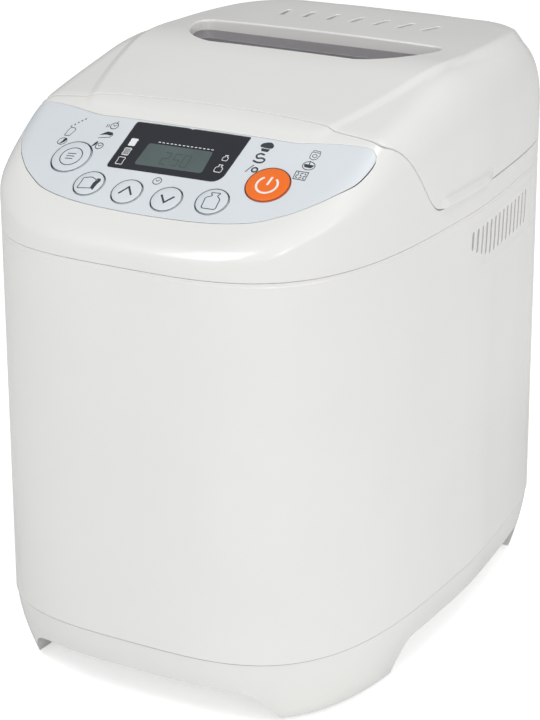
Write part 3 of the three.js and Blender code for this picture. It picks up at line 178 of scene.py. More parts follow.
def curved(points, steps=6, closed=True):
    """Smooth outline through the given points."""
    p = np.array(points, float)
    count = len(p)
    found = []
    for i in range(count if closed else count - 1):
        a, b = p[i - 1 if closed or i else i], p[i]
        c = p[(i + 1) % count]
        d = p[(i + 2) % count if closed else min(i + 2, count - 1)]
        for k in range(steps):
            t = k / steps
            found.append(0.5 * (2 * b + (c - a) * t + (2 * a - 5 * b + 4 * c - d) * t * t
                                + (3 * b - a - 3 * c + d) * t ** 3))
    if not closed:
        found.append(p[-1])
    return np.array(found)


def arc(x, y, radius, start=0.0, end=360.0, steps=32):
    """Points on an arc, in degrees; a whole turn leaves out the repeated last point."""
    whole = abs(end - start) >= 360
    angles = np.radians(np.linspace(start, end, steps + 1))[: steps if whole else steps + 1]
    return np.stack([x + radius * np.cos(angles), y + radius * np.sin(angles)], 1)


def distance_to(outline, a, b):
    """Signed distance of points (a, b) to a closed outline, positive outside it."""
    start = np.asarray(outline, float)
    end = np.roll(start, -1, 0)
    best = np.full(a.shape, 1e9)
    inside = np.zeros(a.shape, bool)
    for (x0, y0), (x1, y1) in zip(start, end):
        dx, dy = x1 - x0, y1 - y0
        share = np.clip(((a - x0) * dx + (b - y0) * dy) / (dx * dx + dy * dy + 1e-12), 0, 1)
        best = np.minimum(best, np.hypot(a - x0 - share * dx, b - y0 - share * dy))
        if dy != 0:
            crosses = (y0 > b) != (y1 > b)
            inside ^= crosses & (a < x0 + (b - y0) * dx / dy)
    return np.where(inside, -best, best)


# ------------------------------------------------------------------ form of the shell


def taper_at(y):
    """Width left behind the middle, where the flanks draw in from an eased start."""
    eased = np.where(y < TAPER_EASE, np.maximum(0, y) ** 2 / (2 * TAPER_EASE), y - TAPER_EASE / 2)
    return 1 - REAR_TAPER * eased


def outline_at(angle, z, inset):
    """Plan outline of the body at a height, drawn in by an inset."""
    rise = np.clip((z - BASE_SEAM_Z) / (BODY_HIGH[2] - BASE_SEAM_Z), 0, 1)
    front = np.sin(angle) < 0
    half_width = lerp(HALF_WIDTH_LOW, HALF_WIDTH_TOP, rise) - inset
    half_depth = np.where(front, lerp(FRONT_LOW, FRONT_TOP, rise), REAR) - inset
    power = np.where(front, FRONT_POWER, REAR_POWER)
    spread = power / 4 + 0.5
    sine, cosine = np.abs(np.sin(angle)) ** spread, np.abs(np.cos(angle)) ** spread
    length = np.hypot(sine, cosine)
    y = np.sign(np.sin(angle)) * half_depth * (sine / length) ** (2 / power)
    x = np.sign(np.cos(angle)) * half_width * taper_at(y) * (cosine / length) ** (2 / power)
    return x, y


def edge_beyond(x, y):
    """Distance from (x, y) to the outline along the ray from the middle, and how far round it is."""
    reach = np.hypot(x, y) + 1e-9
    across, along = np.abs(x) / reach, y / reach
    front = y < 0
    power = np.where(front, FRONT_POWER, REAR_POWER)
    depth = np.where(front, FRONT_TOP, REAR)
    edge = np.full(reach.shape, 150.0)
    for _ in range(12):
        width = HALF_WIDTH_TOP * taper_at(edge * along)
        edge = ((across / width) ** power + (np.abs(along) / depth) ** power) ** (-1 / power)
    share = np.clip((edge * np.abs(along) / depth) ** power, 0, 1)
    return edge - reach, front, share


def field_distance(x, y):
    """Distance outside the raised field of the head, negative on it."""
    side = np.abs(x) - (FIELD_HALF_WIDTH - FIELD_NARROWING * (FIELD_WIDEST_Y - y) ** 2)
    return -blend_low(blend_low(-side, y - FIELD_FRONT_Y, 6), FIELD_REAR_Y - y, 20)


def crown_height(x, y):
    """Height of the top of the head, as if it ran on past the shoulders."""
    panel = PANEL_Z + PANEL_SLOPE * y
    lid_front = LID_FRONT_Z + LID_FRONT_SLOPE * y
    roof = ROOF_Z - ROOF_DROP * (np.maximum(0, y) / ROOF_LENGTH) ** 2
    middle = blend_low(blend_low(panel, lid_front, 3), roof, 4)
    rounding = SIDE_CROWN * (np.abs(x) / SIDE_CROWN_REACH) ** 2.5
    step = blend_high(SIDE_STEP * (np.abs(x) / 100) ** 3, REAR_STEP * smooth(y, REAR_STEP_Y, FIELD_REAR_Y), 1)
    return middle - rounding - step * smooth(field_distance(x, y), -FIELD_EDGE, FIELD_EDGE)


def shoulder_at(front, share, crown):
    """Radius of the shoulder and height of the wall below it, by how far round the outline it is."""
    radius = lerp(SHOULDER["side"], np.where(front, SHOULDER["front"], SHOULDER["rear"]), share)
    wall_top = lerp(WALL_TOP["side"], np.where(front, WALL_TOP["front"], WALL_TOP["rear"]), share)
    return radius, blend_low(wall_top, crown - FRONT_FILLET, 4)


def head_height(x, y):
    """Height of the head with its shoulders."""
    beyond, front, share = edge_beyond(x, y)
    out = 1 + beyond / (np.hypot(x, y) + 1e-9)
    radius, wall_top = shoulder_at(front, share, crown_height(x * out, y * out))
    inwards = np.clip(beyond / radius, 0, 1)
    swell = (1 - (1 - inwards) ** SHOULDER_POWER) ** (1 / SHOULDER_POWER)
    return lerp(wall_top, crown_height(x, y), swell)


# ------------------------------------------------------------------ skins


class Form:
    """A surface over two parameters, counted in grid steps: i round or across, j up or along."""

    def __init__(self, point, columns, rows, closes):
        self.point_at = point
        self.columns = np.asarray(columns, float)
        self.rows = np.asarray(rows, float)
        self.closes = closes

    def point(self, spots):
        u = np.interp(spots[:, 0], np.arange(len(self.columns)), self.columns)
        v = np.interp(spots[:, 1], np.arange(len(self.rows)), self.rows)
        return self.point_at(u, v)

    def normal(self, spots, step=0.05):
        last = np.array([len(self.columns) - 1, len(self.rows) - 1], float)
        tangents = []
        for axis in (0, 1):
            ahead, behind = spots.copy(), spots.copy()
            ahead[:, axis] += step
            behind[:, axis] -= step
            if axis == 0 and self.closes:
                ahead[:, 0] %= last[0]
                behind[:, 0] %= last[0]
            else:
                ahead[:, axis] = np.minimum(ahead[:, axis], last[axis])
                behind[:, axis] = np.maximum(behind[:, axis], 0)
            tangents.append(self.point(ahead) - self.point(behind))
        return unit(np.cross(tangents[0], tangents[1]))


LARGEST_SLIDE = 0.36
NEAR_CUT = 4
HALVINGS = 24


class Skin:
    """An open sheet on a form. It is trimmed by fields, and keeps what lies where they are positive."""

    def __init__(self, form):
        self.form = form
        columns, rows = len(form.columns), len(form.rows)
        i, j = np.meshgrid(np.arange(columns), np.arange(rows), indexing="ij")
        self.spots = np.stack([i.ravel(), j.ravel()], 1).astype(float)
        self.fixed = np.zeros(len(self.spots), bool)
        corner = (np.arange(columns - 1)[:, None] * rows + np.arange(rows - 1)[None]).ravel()
        self.faces = [tuple(f) for f in np.stack([corner, corner + rows, corner + rows + 1, corner + 1], 1)]

    def value(self, field, spots):
        p = self.form.point(spots)
        return field(p[:, 0], p[:, 1], p[:, 2])

    def settle(self, field, near):
        """Slides corners that lie close to the cut onto it."""
        h = 0.02
        for _ in range(2):
            spots = self.spots[near]
            f = self.value(field, spots)
            slope = np.stack([self.value(field, spots + step) - self.value(field, spots - step)
                              for step in h * np.eye(2)], 1) / (2 * h)
            move = -f[:, None] * slope / ((slope ** 2).sum(1, keepdims=True) + 1e-9)
            last = [len(self.form.columns) - 1, len(self.form.rows) - 1]
            rim = ((spots < 0.01) | (spots > np.array(last) - 0.01)).any(1)
            small = (np.hypot(move[:, 0], move[:, 1]) < LARGEST_SLIDE) & ~rim & ~self.fixed[near]
            chosen = near[small]
            self.spots[chosen] += move[small]
            near = chosen
        return near

    def trim(self, field):
        """Cuts away the part of the sheet where the field is negative."""
        f = self.value(field, self.spots)
        used = np.zeros(len(self.spots), bool)
        for face in self.faces:
            used[list(face)] = True
        near = np.where((np.abs(f) < NEAR_CUT) & used & ~self.fixed)[0]
        on_cut = self.settle(field, near)
        f = self.value(field, self.spots)
        f[on_cut] = 0
        f[np.abs(f) < 1e-6] = 0
        self.fixed[on_cut] = True
        sign = np.sign(f).astype(int)
        kept, mixed, pairs = [], [], {}
        for face in self.faces:
            s = [sign[k] for k in face]
            if min(s) >= 0:
                if max(s) > 0:
                    kept.append(face)
            elif max(s) > 0:
                mixed.append(face)
                for a, b in zip(face, face[1:] + face[:1]):
                    if sign[a] * sign[b] < 0:
                        pairs[(min(a, b), max(a, b))] = None
        if pairs:
            ends = np.array(list(pairs))
            a, b = self.spots[ends[:, 0]], self.spots[ends[:, 1]]
            low, high = np.zeros(len(ends)), np.ones(len(ends))
            for _ in range(HALVINGS):
                middle = (low + high) / 2
                fm = self.value(field, a + (b - a) * middle[:, None])
                same = np.sign(fm) == sign[ends[:, 0]]
                low, high = np.where(same, middle, low), np.where(same, high, middle)
            start = len(self.spots)
            self.spots = np.concatenate([self.spots, a + (b - a) * ((low + high) / 2)[:, None]])
            self.fixed = np.concatenate([self.fixed, np.ones(len(ends), bool)])
            pairs = {pair: start + n for n, pair in enumerate(pairs)}
        for face in mixed:
            corners = []
            for a, b in zip(face, face[1:] + face[:1]):
                if sign[a] >= 0:
                    corners.append(a)
                if sign[a] * sign[b] < 0:
                    corners.append(pairs[(min(a, b), max(a, b))])
            if len(corners) > 2:
                kept.append(tuple(corners))
        self.faces = kept

    def joined(self):
        """Corner points, normals and faces, with the start and end of a closed form sewn together."""
        used = sorted({k for face in self.faces for k in face})
        number = {k: n for n, k in enumerate(used)}
        spots = self.spots[used]
        points, normals = self.form.point(spots), self.form.normal(spots)
        faces = [tuple(number[k] for k in face) for face in self.faces]
        if self.form.closes:
            last = len(self.form.columns) - 1
            firsts = np.where(spots[:, 0] < 1e-6)[0]
            lasts = np.where(spots[:, 0] > last - 1e-6)[0]
            swap = {}
            for k in lasts:
                gap = np.abs(spots[firsts, 1] - spots[k, 1])
                if len(gap) and gap.min() < 1e-3:
                    swap[k] = int(firsts[gap.argmin()])
            faces = [tuple(swap.get(k, k) for k in face) for face in faces]
        return points, normals, faces


def rim_loops(faces):
    """Open edges of a sheet as loops of corners, in the direction of their faces."""
    edges = set()
    for face in faces:
        for a, b in zip(face, face[1:] + face[:1]):
            if a == b:
                continue
            if (b, a) in edges:
                edges.discard((b, a))
            else:
                edges.add((a, b))
    following = {}
    for a, b in edges:
        following.setdefault(a, []).append(b)
    loops = []
    while following:
        start = next(iter(following))
        loop, here = [], start
        while here in following:
            loop.append(here)
            options = following[here]
            ahead = options.pop()
            if not options:
                del following[here]
            here = ahead
            if here == start:
                break
        if len(loop) > 2:
            loops.append(loop)
    return loops


class Solid:
    """Corners, corner normals and faces of a closed piece, in millimetres."""

    def __init__(self):
        self.points = []
        self.normals = []
        self.faces = []

    def add(self, points, normals, faces):
        start = sum(len(p) for p in self.points)
        self.points.append(np.asarray(points, float))
        self.normals.append(np.asarray(normals, float))
        self.faces.extend(tuple(start + k for k in face) for face in faces)
        return start

    def merge(self, other):
        self.add(np.concatenate(other.points), np.concatenate(other.normals), other.faces)


def lip_rings(radius, thick):
    """Offsets outwards and down, with the way the surface faces, round a moulded edge."""
    rings = []
    for degrees, upper in ((30, True), (60, True), (90, True), (90, False), (45, False)):
        s, c = math.sin(math.radians(degrees)), math.cos(math.radians(degrees))
        down = radius * (1 - c)
        rings.append((radius * s, down, s, c) if upper else (radius * s, thick - down, s, -c))
    return rings


def thicken(skin, thick, lip, wells=(), sunk=0.0):
    """Closed shell of a sheet: outside, inside and a rounded lip along every edge.

    A well is (test, rings): a rim whose middle passes the test goes down through those rings instead.
    """
    points, normals, faces = skin.joined()
    points = points - sunk * normals
    solid = Solid()
    solid.add(points, normals, faces)
    back = solid.add(points - thick * normals, -normals, [face[::-1] for face in faces])
    for loop in rim_loops(faces):
        p, n = points[loop], normals[loop]
        edge = np.roll(p, -1, 0) - p
        side = unit(np.cross(edge, n))
        out = side + np.roll(side, 1, 0)
        size = np.linalg.norm(out, axis=1, keepdims=True) + 1e-12
        out = out / size * np.minimum(2 / size, 1.5)
        rings = None
        for test, made in wells:
            if test(p.mean(0)):
                rings = made(p, n, out)
        if rings is None:
            rings = [(p + a * out - b * n, s * out + c * n) for a, b, s, c in lip_rings(lip, thick)]
        previous = np.array(loop)
        count = len(loop)
        for ring in [*rings, None]:
            if ring is None:
                now = np.array(loop) + back
            else:
                now = solid.add(*ring, []) + np.arange(count)
            for k in range(count):
                m = (k + 1) % count
                solid.faces.append((previous[m], previous[k], now[k], now[m]))
            previous = now
    return solid


def scene_object(name, data):
    thing = bpy.data.objects.new(name, data)
    bpy.context.scene.collection.objects.link(thing)
    return thing


def evaluated(thing):
    """Mesh of an object as its modifiers leave it."""
    return bpy.data.meshes.new_from_object(thing.evaluated_get(bpy.context.evaluated_depsgraph_get()))


def raw_mesh(name, points, faces, turn_out=False):
    """Mesh from points in millimetres, with its faces turned outwards where that is asked for."""
    mesh = bpy.data.meshes.new(name)
    mesh.from_pydata((np.array(points) * MM).tolist(), [], faces)
    if turn_out:
        work = bmesh.new()
        work.from_mesh(mesh)
        bmesh.ops.recalc_face_normals(work, faces=work.faces)
        work.to_mesh(mesh)
        work.free()
    return mesh


def make_mesh(name, solid):
    """Smooth mesh of a solid, with the corner normals of its form."""
    points = np.concatenate(solid.points) * MM
    normals = unit(np.concatenate(solid.normals))
    used = sorted({k for face in solid.faces for k in face})
    number = np.zeros(len(points), int)
    number[used] = np.arange(len(used))
    faces = [tuple(int(number[k]) for k in face) for face in solid.faces]
    mesh = bpy.data.meshes.new(name)
    mesh.from_pydata(points[used].tolist(), [], faces)
    mesh.validate(verbose=False)
    mesh.shade_smooth()
    mesh.normals_split_custom_set_from_vertices(normals[used].tolist())
    mesh.update()
    return mesh


def piece(name, mesh, material, body, replaces=()):
    """A finished piece at the origin, riding on a body."""
    thing = scene_object(name, mesh)
    mesh.materials.clear()
    mesh.materials.append(material)
    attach(thing, body)
    if replaces:
        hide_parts(*replaces)


# ------------------------------------------------------------------ materials


def tone(*levels):
    """Linear colour of a screen colour, given as red, green and blue up to 255."""
    linear = [((v / 255 + 0.055) / 1.055) ** 2.4 if v > 10 else v / 255 / 12.92 for v in levels]
    return (*linear, 1)


def add_node(tree, kind, settings=None, inputs=None):
    node = tree.nodes.new(kind)
    for key, value in (settings or {}).items():
        setattr(node, key, value)
    for key, value in (inputs or {}).items():
        node.inputs[key].default_value = value
    return node


def wire(tree, *links):
    """Joins sockets, each link given as (node, output, node, input)."""
    for source, output, target, entry in links:
        tree.links.new(source.outputs[output], target.inputs[entry])


def sockets(tree, way, entries):
    """Adds the named inputs or outputs of a node group, each as (name, kind, value or None)."""
    for label, kind, value in entries:
        made = tree.interface.new_socket(label, in_out=way, socket_type="NodeSocket" + kind)
        if value is not None:
            made.default_value = value


def make_group(name, inputs, outputs):
    tree = bpy.data.node_groups.new(name, "ShaderNodeTree")
    sockets(tree, "INPUT", inputs)
    sockets(tree, "OUTPUT", [(label, "Float", None) for label in outputs])
    return tree, tree.nodes.new("NodeGroupInput"), tree.nodes.new("NodeGroupOutput")


def moulded_grain():
    """Fine texture of a moulding, and the broad unevenness of its colour and polish."""
    entries = [("Vector", "Vector", None), ("Fine Scale", "Float", 900.0), ("Broad Scale", "Float", 16.0)]
    tree, given, out = make_group("moulded_grain", entries, ["Fine", "Broad"])
    fine = add_node(tree, "ShaderNodeTexNoise", inputs={"Detail": 3.0, "Roughness": 0.6})
    broad = add_node(tree, "ShaderNodeTexNoise", inputs={"Detail": 2.0, "Roughness": 0.45})
    for texture, name in ((fine, "Fine"), (broad, "Broad")):
        wire(tree, (given, "Vector", texture, "Vector"), (given, name + " Scale", texture, "Scale"),
             (texture, "Fac", out, name))
    return tree


def rolled_grain():
    """Long fine scratches, as rolling and drawing leave them in metal."""
    entries = [("Vector", "Vector", None), ("Stretch", "Vector", (1.0, 1.0, 0.04)),
               ("Scale", "Float", 1500.0)]
    tree, given, out = make_group("rolled_grain", entries, ["Scratch", "Cloud"])
    squeezed = add_node(tree, "ShaderNodeVectorMath", {"operation": "MULTIPLY"})
    scratch = add_node(tree, "ShaderNodeTexNoise", inputs={"Detail": 4.0})
    cloud = add_node(tree, "ShaderNodeTexNoise", inputs={"Scale": 28.0, "Detail": 3.0})
    wire(tree, (given, "Vector", squeezed, 0), (given, "Stretch", squeezed, 1),
         (squeezed, 0, scratch, "Vector"), (given, "Scale", scratch, "Scale"),
         (given, "Vector", cloud, "Vector"), (scratch, "Fac", out, "Scratch"), (cloud, "Fac", out, "Cloud"))
    return tree


GRAIN = moulded_grain()
ROLLED = rolled_grain()
GRAIN_LOW, GRAIN_HIGH = 0.3, 0.7


def finish(name, dark, light, rough, relief=0.05, metal=0.0, coat=0.0, coat_rough=0.06, fine=900.0,
           broad=16.0, rolled=None, glass=0.0, flecks=None):
    """A finish with its own colour range, polish range and relief in millimetres."""
    material = bpy.data.materials.new(name)
    material.use_nodes = True
    tree = material.node_tree
    shader = tree.nodes["Principled BSDF"]
    place = add_node(tree, "ShaderNodeTexCoord")
    if rolled:
        grain = add_node(tree, "ShaderNodeGroup", {"node_tree": ROLLED}, {"Stretch": rolled, "Scale": fine})
        fine_out, broad_out = "Scratch", "Cloud"
    else:
        scales = {"Fine Scale": fine, "Broad Scale": broad}
        grain = add_node(tree, "ShaderNodeGroup", {"node_tree": GRAIN}, scales)
        fine_out, broad_out = "Fine", "Broad"
    ramp = add_node(tree, "ShaderNodeValToRGB")
    for stop, colour, position in zip(ramp.color_ramp.elements, (dark, light), (GRAIN_LOW, GRAIN_HIGH)):
        stop.color, stop.position = tone(*colour), position
    polish = add_node(tree, "ShaderNodeMapRange", inputs={"From Min": GRAIN_LOW, "From Max": GRAIN_HIGH,
                                                          "To Min": rough[0], "To Max": rough[1]})
    bump = add_node(tree, "ShaderNodeBump", inputs={"Strength": 1.0, "Distance": relief * MM})
    wire(tree, (place, "Object", grain, "Vector"), (grain, broad_out, ramp, "Fac"),
         (grain, fine_out if rolled else broad_out, polish, "Value"), (polish, "Result", shader, "Roughness"),
         (grain, fine_out, bump, "Height"), (bump, "Normal", shader, "Normal"))
    if flecks:
        scale, size, spot = flecks
        cells = add_node(tree, "ShaderNodeTexVoronoi", inputs={"Scale": scale})
        near = add_node(tree, "ShaderNodeMapRange", inputs={"From Min": size * 0.6, "From Max": size,
                                                            "To Min": 1.0, "To Max": 0.0})
        mixed = add_node(tree, "ShaderNodeMix", {"data_type": "RGBA"}, {7: tone(*spot)})
        wire(tree, (place, "Object", cells, "Vector"), (cells, "Distance", near, "Value"),
             (near, "Result", mixed, "Factor"), (ramp, "Color", mixed, 6), (mixed, 2, shader, "Base Color"))
    else:
        wire(tree, (ramp, "Color", shader, "Base Color"))
    constants = {"Metallic": metal, "Coat Weight": coat, "Coat Roughness": coat_rough,
                 "Transmission Weight": glass, "IOR": 1.46}
    for entry, value in constants.items():
        shader.inputs[entry].default_value = value
    return material


WHITE = finish("white_plastic", (237, 237, 235), (239, 239, 237), (0.2, 0.26), 0.006, coat=0.35, fine=1400)
FILM = finish("panel_film", (220, 226, 231), (225, 231, 236), (0.3, 0.38), 0.012, coat=0.1, coat_rough=0.2,
              fine=2600)
SLATE = finish("display_glass", (30, 33, 41), (36, 39, 47), (0.2, 0.28), 0.004, coat=0.4, fine=1800)
LCD = finish("liquid_crystal", (84, 98, 97), (94, 108, 106), (0.3, 0.36), 0.01, fine=3000, broad=60)
PANE = finish("tinted_pane", (124, 115, 128), (132, 123, 137), (0.03, 0.07), 0.001, glass=0.7, fine=300)
KEY = finish("key_plastic", (219, 226, 232), (224, 231, 236), (0.26, 0.34), 0.01, coat=0.15, fine=2200)
ORANGE = finish("start_key_plastic", (248, 112, 26), (252, 122, 34), (0.22, 0.3), 0.008, coat=0.3, fine=2200)
INK = finish("grey_print", (50, 56, 63), (60, 66, 73), (0.34, 0.44), 0.004, fine=4000)
PALE_INK = finish("white_print", (236, 240, 242), (244, 246, 248), (0.34, 0.44), 0.004, fine=4000)
FAINT = finish("faint_digit", (70, 84, 82), (76, 90, 88), (0.3, 0.4), 0.004, fine=4000)
RUBBER = finish("rubber", (38, 39, 42), (50, 51, 54), (0.62, 0.8), 0.05, fine=1600, broad=90)
BELT = finish("ribbed_belt_rubber", (24, 24, 26), (34, 34, 36), (0.55, 0.7), 0.08, fine=1100, broad=60)
SILICONE = finish("silicone_seal", (176, 178, 180), (188, 190, 192), (0.42, 0.55), 0.02, fine=1300, broad=40)
SHEET = finish("steel_sheet", (168, 170, 172), (190, 191, 193), (0.24, 0.42), 0.012, metal=1.0, fine=1300,
               rolled=(1.0, 1.0, 0.03))
ROD = finish("drawn_rod", (176, 178, 180), (200, 201, 203), (0.16, 0.3), 0.008, metal=1.0, fine=1600,
             rolled=(0.06, 1.0, 1.0))
ELEMENT = finish("heated_steel", (74, 66, 62), (98, 90, 86), (0.38, 0.52), 0.03, metal=0.9, fine=700,
                 broad=40)
NONSTICK = finish("nonstick_coat", (52, 52, 55), (64, 64, 67), (0.36, 0.5), 0.03, metal=0.25, fine=1500,
                  broad=50, flecks=(900.0, 0.3, (96, 96, 99)))
BRASS = finish("turned_brass", (176, 138, 74), (198, 160, 92), (0.2, 0.34), 0.012, metal=1.0, fine=1400,
               rolled=(1.0, 1.0, 0.08))
BLACK = finish("black_plastic", (34, 35, 38), (42, 43, 46), (0.4, 0.52), 0.04, fine=1100, broad=30)
BOARD = finish("circuit_board", (30, 84, 52), (38, 98, 62), (0.3, 0.42), 0.03, coat=0.3, fine=700, broad=240,
               flecks=(260.0, 0.16, (186, 176, 120)))

SLOT_FINISH = {
    "white_shell": WHITE, "overlay_film": FILM, "display_slate": SLATE, "window_glass": PANE, "key_grey": KEY,
    "key_orange": ORANGE, "rubber": RUBBER, "silicone": SILICONE, "belt_rubber": BELT, "steel_sheet": SHEET,
    "steel_rod": ROD, "element_steel": ELEMENT, "nonstick": NONSTICK, "brass": BRASS, "black_plastic": BLACK,
    "circuit_board": BOARD,
}


def finish_nodes():
    """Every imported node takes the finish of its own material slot."""
    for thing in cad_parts.values():
        for socket in thing.material_slots:
            plain = socket.material.name.split(".")[0] if socket.material else ""
            for name, material in SLOT_FINISH.items():
                if name in plain:
                    socket.material = material


# ------------------------------------------------------------------ head: one form, cut into frame and lid

HALF_CREASE = [
    (-8, -73), (0, -73), (33, -73.7), (64, -75.9), (75, -78.4), (88, -79.2), (98, -80.5), (108, -84)]
CREASE = curved(HALF_CREASE, 10, closed=False)


def seam_height(y):
    """Height of the seam along the flank."""
    return LID_EDGE_Z + SEAM_RISE * smooth(SEAM_TURN_Y - y, 0, SEAM_LENGTH)


def seam(x, y, z):
    """Distance behind and above the seam between the frame and the lid."""
    share = np.clip((SEAM_TURN_Y - y) / SEAM_LENGTH, 0, 1)
    slope = SEAM_RISE * 6 * share * (1 - share) / SEAM_LENGTH
    side = (z - seam_height(y)) / np.sqrt(1 + slope * slope)
    across = y - np.interp(np.abs(x), CREASE[:, 0], CREASE[:, 1])
    return blend_low(blend_low(side, y - SEAM_TOP_Y, 6), across, 4)


def ledge_swell(y, z):
    """How far the finger ledge stands out of the flank of the lid."""
    front, rear = LEDGE["front"], LEDGE["rear"]
    along = smooth(y, front - 1.5, front + 2.5) * (1 - smooth(y, rear - 10, rear + 3))
    return LEDGE["proud"] * along * (1 - smooth(z, LEDGE["low"], LEDGE["top"]))


def spaced(*spans):
    """Values along spans of (start, end, count), with shared ends."""
    found = [spans[0][0]]
    for start, end, count in spans:
        found.extend(start + (end - start) * (k + 1) / count for k in range(count))
    return np.array(found)


HEAD_ROWS = spaced((0, 1, 9), (1, 2, 16), (2, 2.22, 22), (2.22, 2.5, 24), (2.5, 2.87, 16))


def round_steps(spacing):
    """Angles round the outline from the middle of the front, spaced as asked at each (x, y)."""
    dense = np.linspace(-math.pi / 2, 1.5 * math.pi, 40001)
    x, y = outline_at(dense, np.full(dense.shape, 200.0), 0)
    lengths = np.hypot(np.diff(x), np.diff(y)) / spacing((x[1:] + x[:-1]) / 2, (y[1:] + y[:-1]) / 2)
    steps = np.concatenate([[0], np.cumsum(lengths)])
    return np.interp(np.linspace(0, steps[-1], int(round(steps[-1])) + 1), steps, dense)


HEAD_ROUND = round_steps(lambda x, y: np.where((np.abs(x) < 82) & (y > 0), 1.5, 2.1))


def head_point(angle, row, ledge):
    """Point of the head. Row 0 to 1 goes up the wall, to 2 over the shoulder, and then to the ridge."""
    ox, oy = outline_at(angle, np.full(angle.shape, 300.0), 0)
    reach = np.hypot(ox, oy)
    front = oy < 0
    power = np.where(front, FRONT_POWER, REAR_POWER)
    depth = np.where(front, FRONT_TOP, REAR)
    share = np.clip((np.abs(oy) / depth) ** power, 0, 1)
    radius, wall_top = shoulder_at(front, share, crown_height(ox, oy))
    turn = np.clip(row - 1, 0, 1) * math.pi / 2
    inwards = 1 - np.cos(turn) ** (2 / SHOULDER_POWER)
    swell = np.sin(turn) ** (2 / SHOULDER_POWER)
    x = ox * (1 - inwards * radius / reach)
    y = oy * (1 - inwards * radius / reach)
    rest = np.clip(row - 2, 0, 1)
    x, y = x * (1 - rest), lerp(y, RIDGE_Y, rest)
    z = lerp(wall_top, crown_height(x, y), swell)
    wall = np.clip(row, 0, 1)
    z = np.where(row < 1, lerp(FRAME_FOOT_Z + 0.1, wall_top, wall), z)
    if ledge:
        push = ledge_swell(y, z) * smooth(np.abs(x), LEDGE["inner"], LEDGE["outer"])
        x = x + np.sign(x) * push
    return np.stack([x, y, z], -1)


def head_skin(ledge=False):
    return Skin(Form(lambda u, v: head_point(u, v, ledge), HEAD_ROUND, HEAD_ROWS, closes=True))


def window_outline(grow):
    """Plan of the window, with swept front corners, grown on all sides."""
    front, rear = WINDOW["front"] - grow, WINDOW["rear"] + grow
    side, corner = WINDOW["half_width"] + grow, WINDOW["rear_corner"] + grow
    share = np.linspace(0, 1, 25)[:, None]
    a, c = np.array([WINDOW["sweep_start"], front]), np.array([side, WINDOW["sweep_end"]])
    b = np.array([side - WINDOW["sweep_in"], front + WINDOW["sweep_back"]])
    bend = a * (1 - share) ** 2 + 2 * b * share * (1 - share) + c * share ** 2
    right = np.concatenate([bend, arc(side - corner, rear - corner, corner, 0, 90, 12)])
    return np.concatenate([right, right[::-1] * [-1, 1]])


TOP_ONLY_Z = 300
SLOPE_REAR_Y = -60


def steam_vent(x, y, z):
    """Distance outside the nearest steam vent."""
    best = np.full(x.shape, FAR)
    half, straight = STEAM_VENTS["width"] / 2, (STEAM_VENTS["length"] - STEAM_VENTS["width"]) / 2
    for k in range(STEAM_VENTS["count"]):
        middle = (k - (STEAM_VENTS["count"] - 1) / 2) * STEAM_VENTS["pitch"]
        lean = middle * STEAM_VENTS["fan"]
        dx, dy = x - middle, y - STEAM_VENTS["y"]
        across = dx * math.cos(lean) - dy * math.sin(lean)
        along = dx * math.sin(lean) + dy * math.cos(lean)
        best = np.minimum(best, np.hypot(across, np.maximum(np.abs(along) - straight, 0)) - half)
    return np.where(z > TOP_ONLY_Z, best, FAR)


def window_well(p, n, out):
    """Rings down the side of the window well, round the seat of the pane, and up behind it."""
    flat = unit(out * [1, 1, 0])
    up = np.array([0, 0, 1.0])
    rings = [(p + a * out - b * n, s * out + c * n) for a, b, s, c in lip_rings(1.2, 2.4)[:3]]
    foot = p + 1.2 * flat

    def at(inwards, z, across, upward):
        place = foot + inwards * flat
        place[:, 2] = z
        return place, across * flat + upward * up

    seat, foot_z = WINDOW["pane_low"] - 0.3, LINER_LOW[2]
    return rings + [
        at(0, seat + 0.4, 1, 0), at(0.1, seat + 0.1, 0.7, 0.7), at(0.4, seat, 0, 1),
        at(2.2, seat, 0, 1), at(2.45, seat - 0.1, 0.7, 0.7), at(2.5, seat - 0.4, 1, 0),
        at(2.5, foot_z + 0.4, 1, 0), at(2.4, foot_z + 0.1, 0.7, -0.7), at(2.1, foot_z, 0, -1),
        at(0.2, foot_z, 0, -1), at(0, foot_z + 0.4, -1, 0), at(0, seat - 4, -1, 0)]


def bulkhead(wall, foot):
    """Outline, ends and axis of an upright cross wall that ends a little under the head."""
    y, half_width = wall["y"], wall["half_width"]
    x = np.linspace(-half_width, half_width, 83)
    top = np.stack([x, head_height(x, np.full(x.shape, y)) - wall["under"]], 1)
    return np.concatenate([[[-half_width, foot]], top, [[half_width, foot]]]), y, y + SHELL, 1


def add_prism(solid, outline, low, high, axis):
    """Adds a closed flat-sided prism of an outline along an axis to a solid."""
    count = len(outline)
    ends = [np.insert(np.asarray(outline, float), axis, end, axis=1) for end in (low, high)]
    flat = [Vector((a, b, 0)) for a, b in outline]
    toward = np.zeros(3)
    toward[axis] = 1
    out = unit(np.cross(np.roll(ends[0], -1, 0) - ends[0], toward))
    turned_in = sum(a[0] * b[1] - b[0] * a[1] for a, b in zip(outline, np.roll(outline, -1, 0))) > 0
    flip = turned_in == (axis == 1)
    out = -out if flip else out
    triangles = tessellate_polygon([flat])
    for end, way in ((0, -toward), (1, toward)):
        faces = []
        for tri in triangles:
            a, b, c = (ends[end][k] for k in tri)
            faces.append(tuple(tri) if np.cross(b - a, c - a) @ way > 0 else tuple(tri[::-1]))
        solid.add(ends[end], np.tile(way, (count, 1)), faces)
    start = solid.add(np.concatenate([ends[0], ends[1]]), np.concatenate([out, out]), [])
    for k in range(count):
        m = (k + 1) % count
        face = (start + k, start + m, start + count + m, start + count + k)
        solid.faces.append(face[::-1] if flip else face)


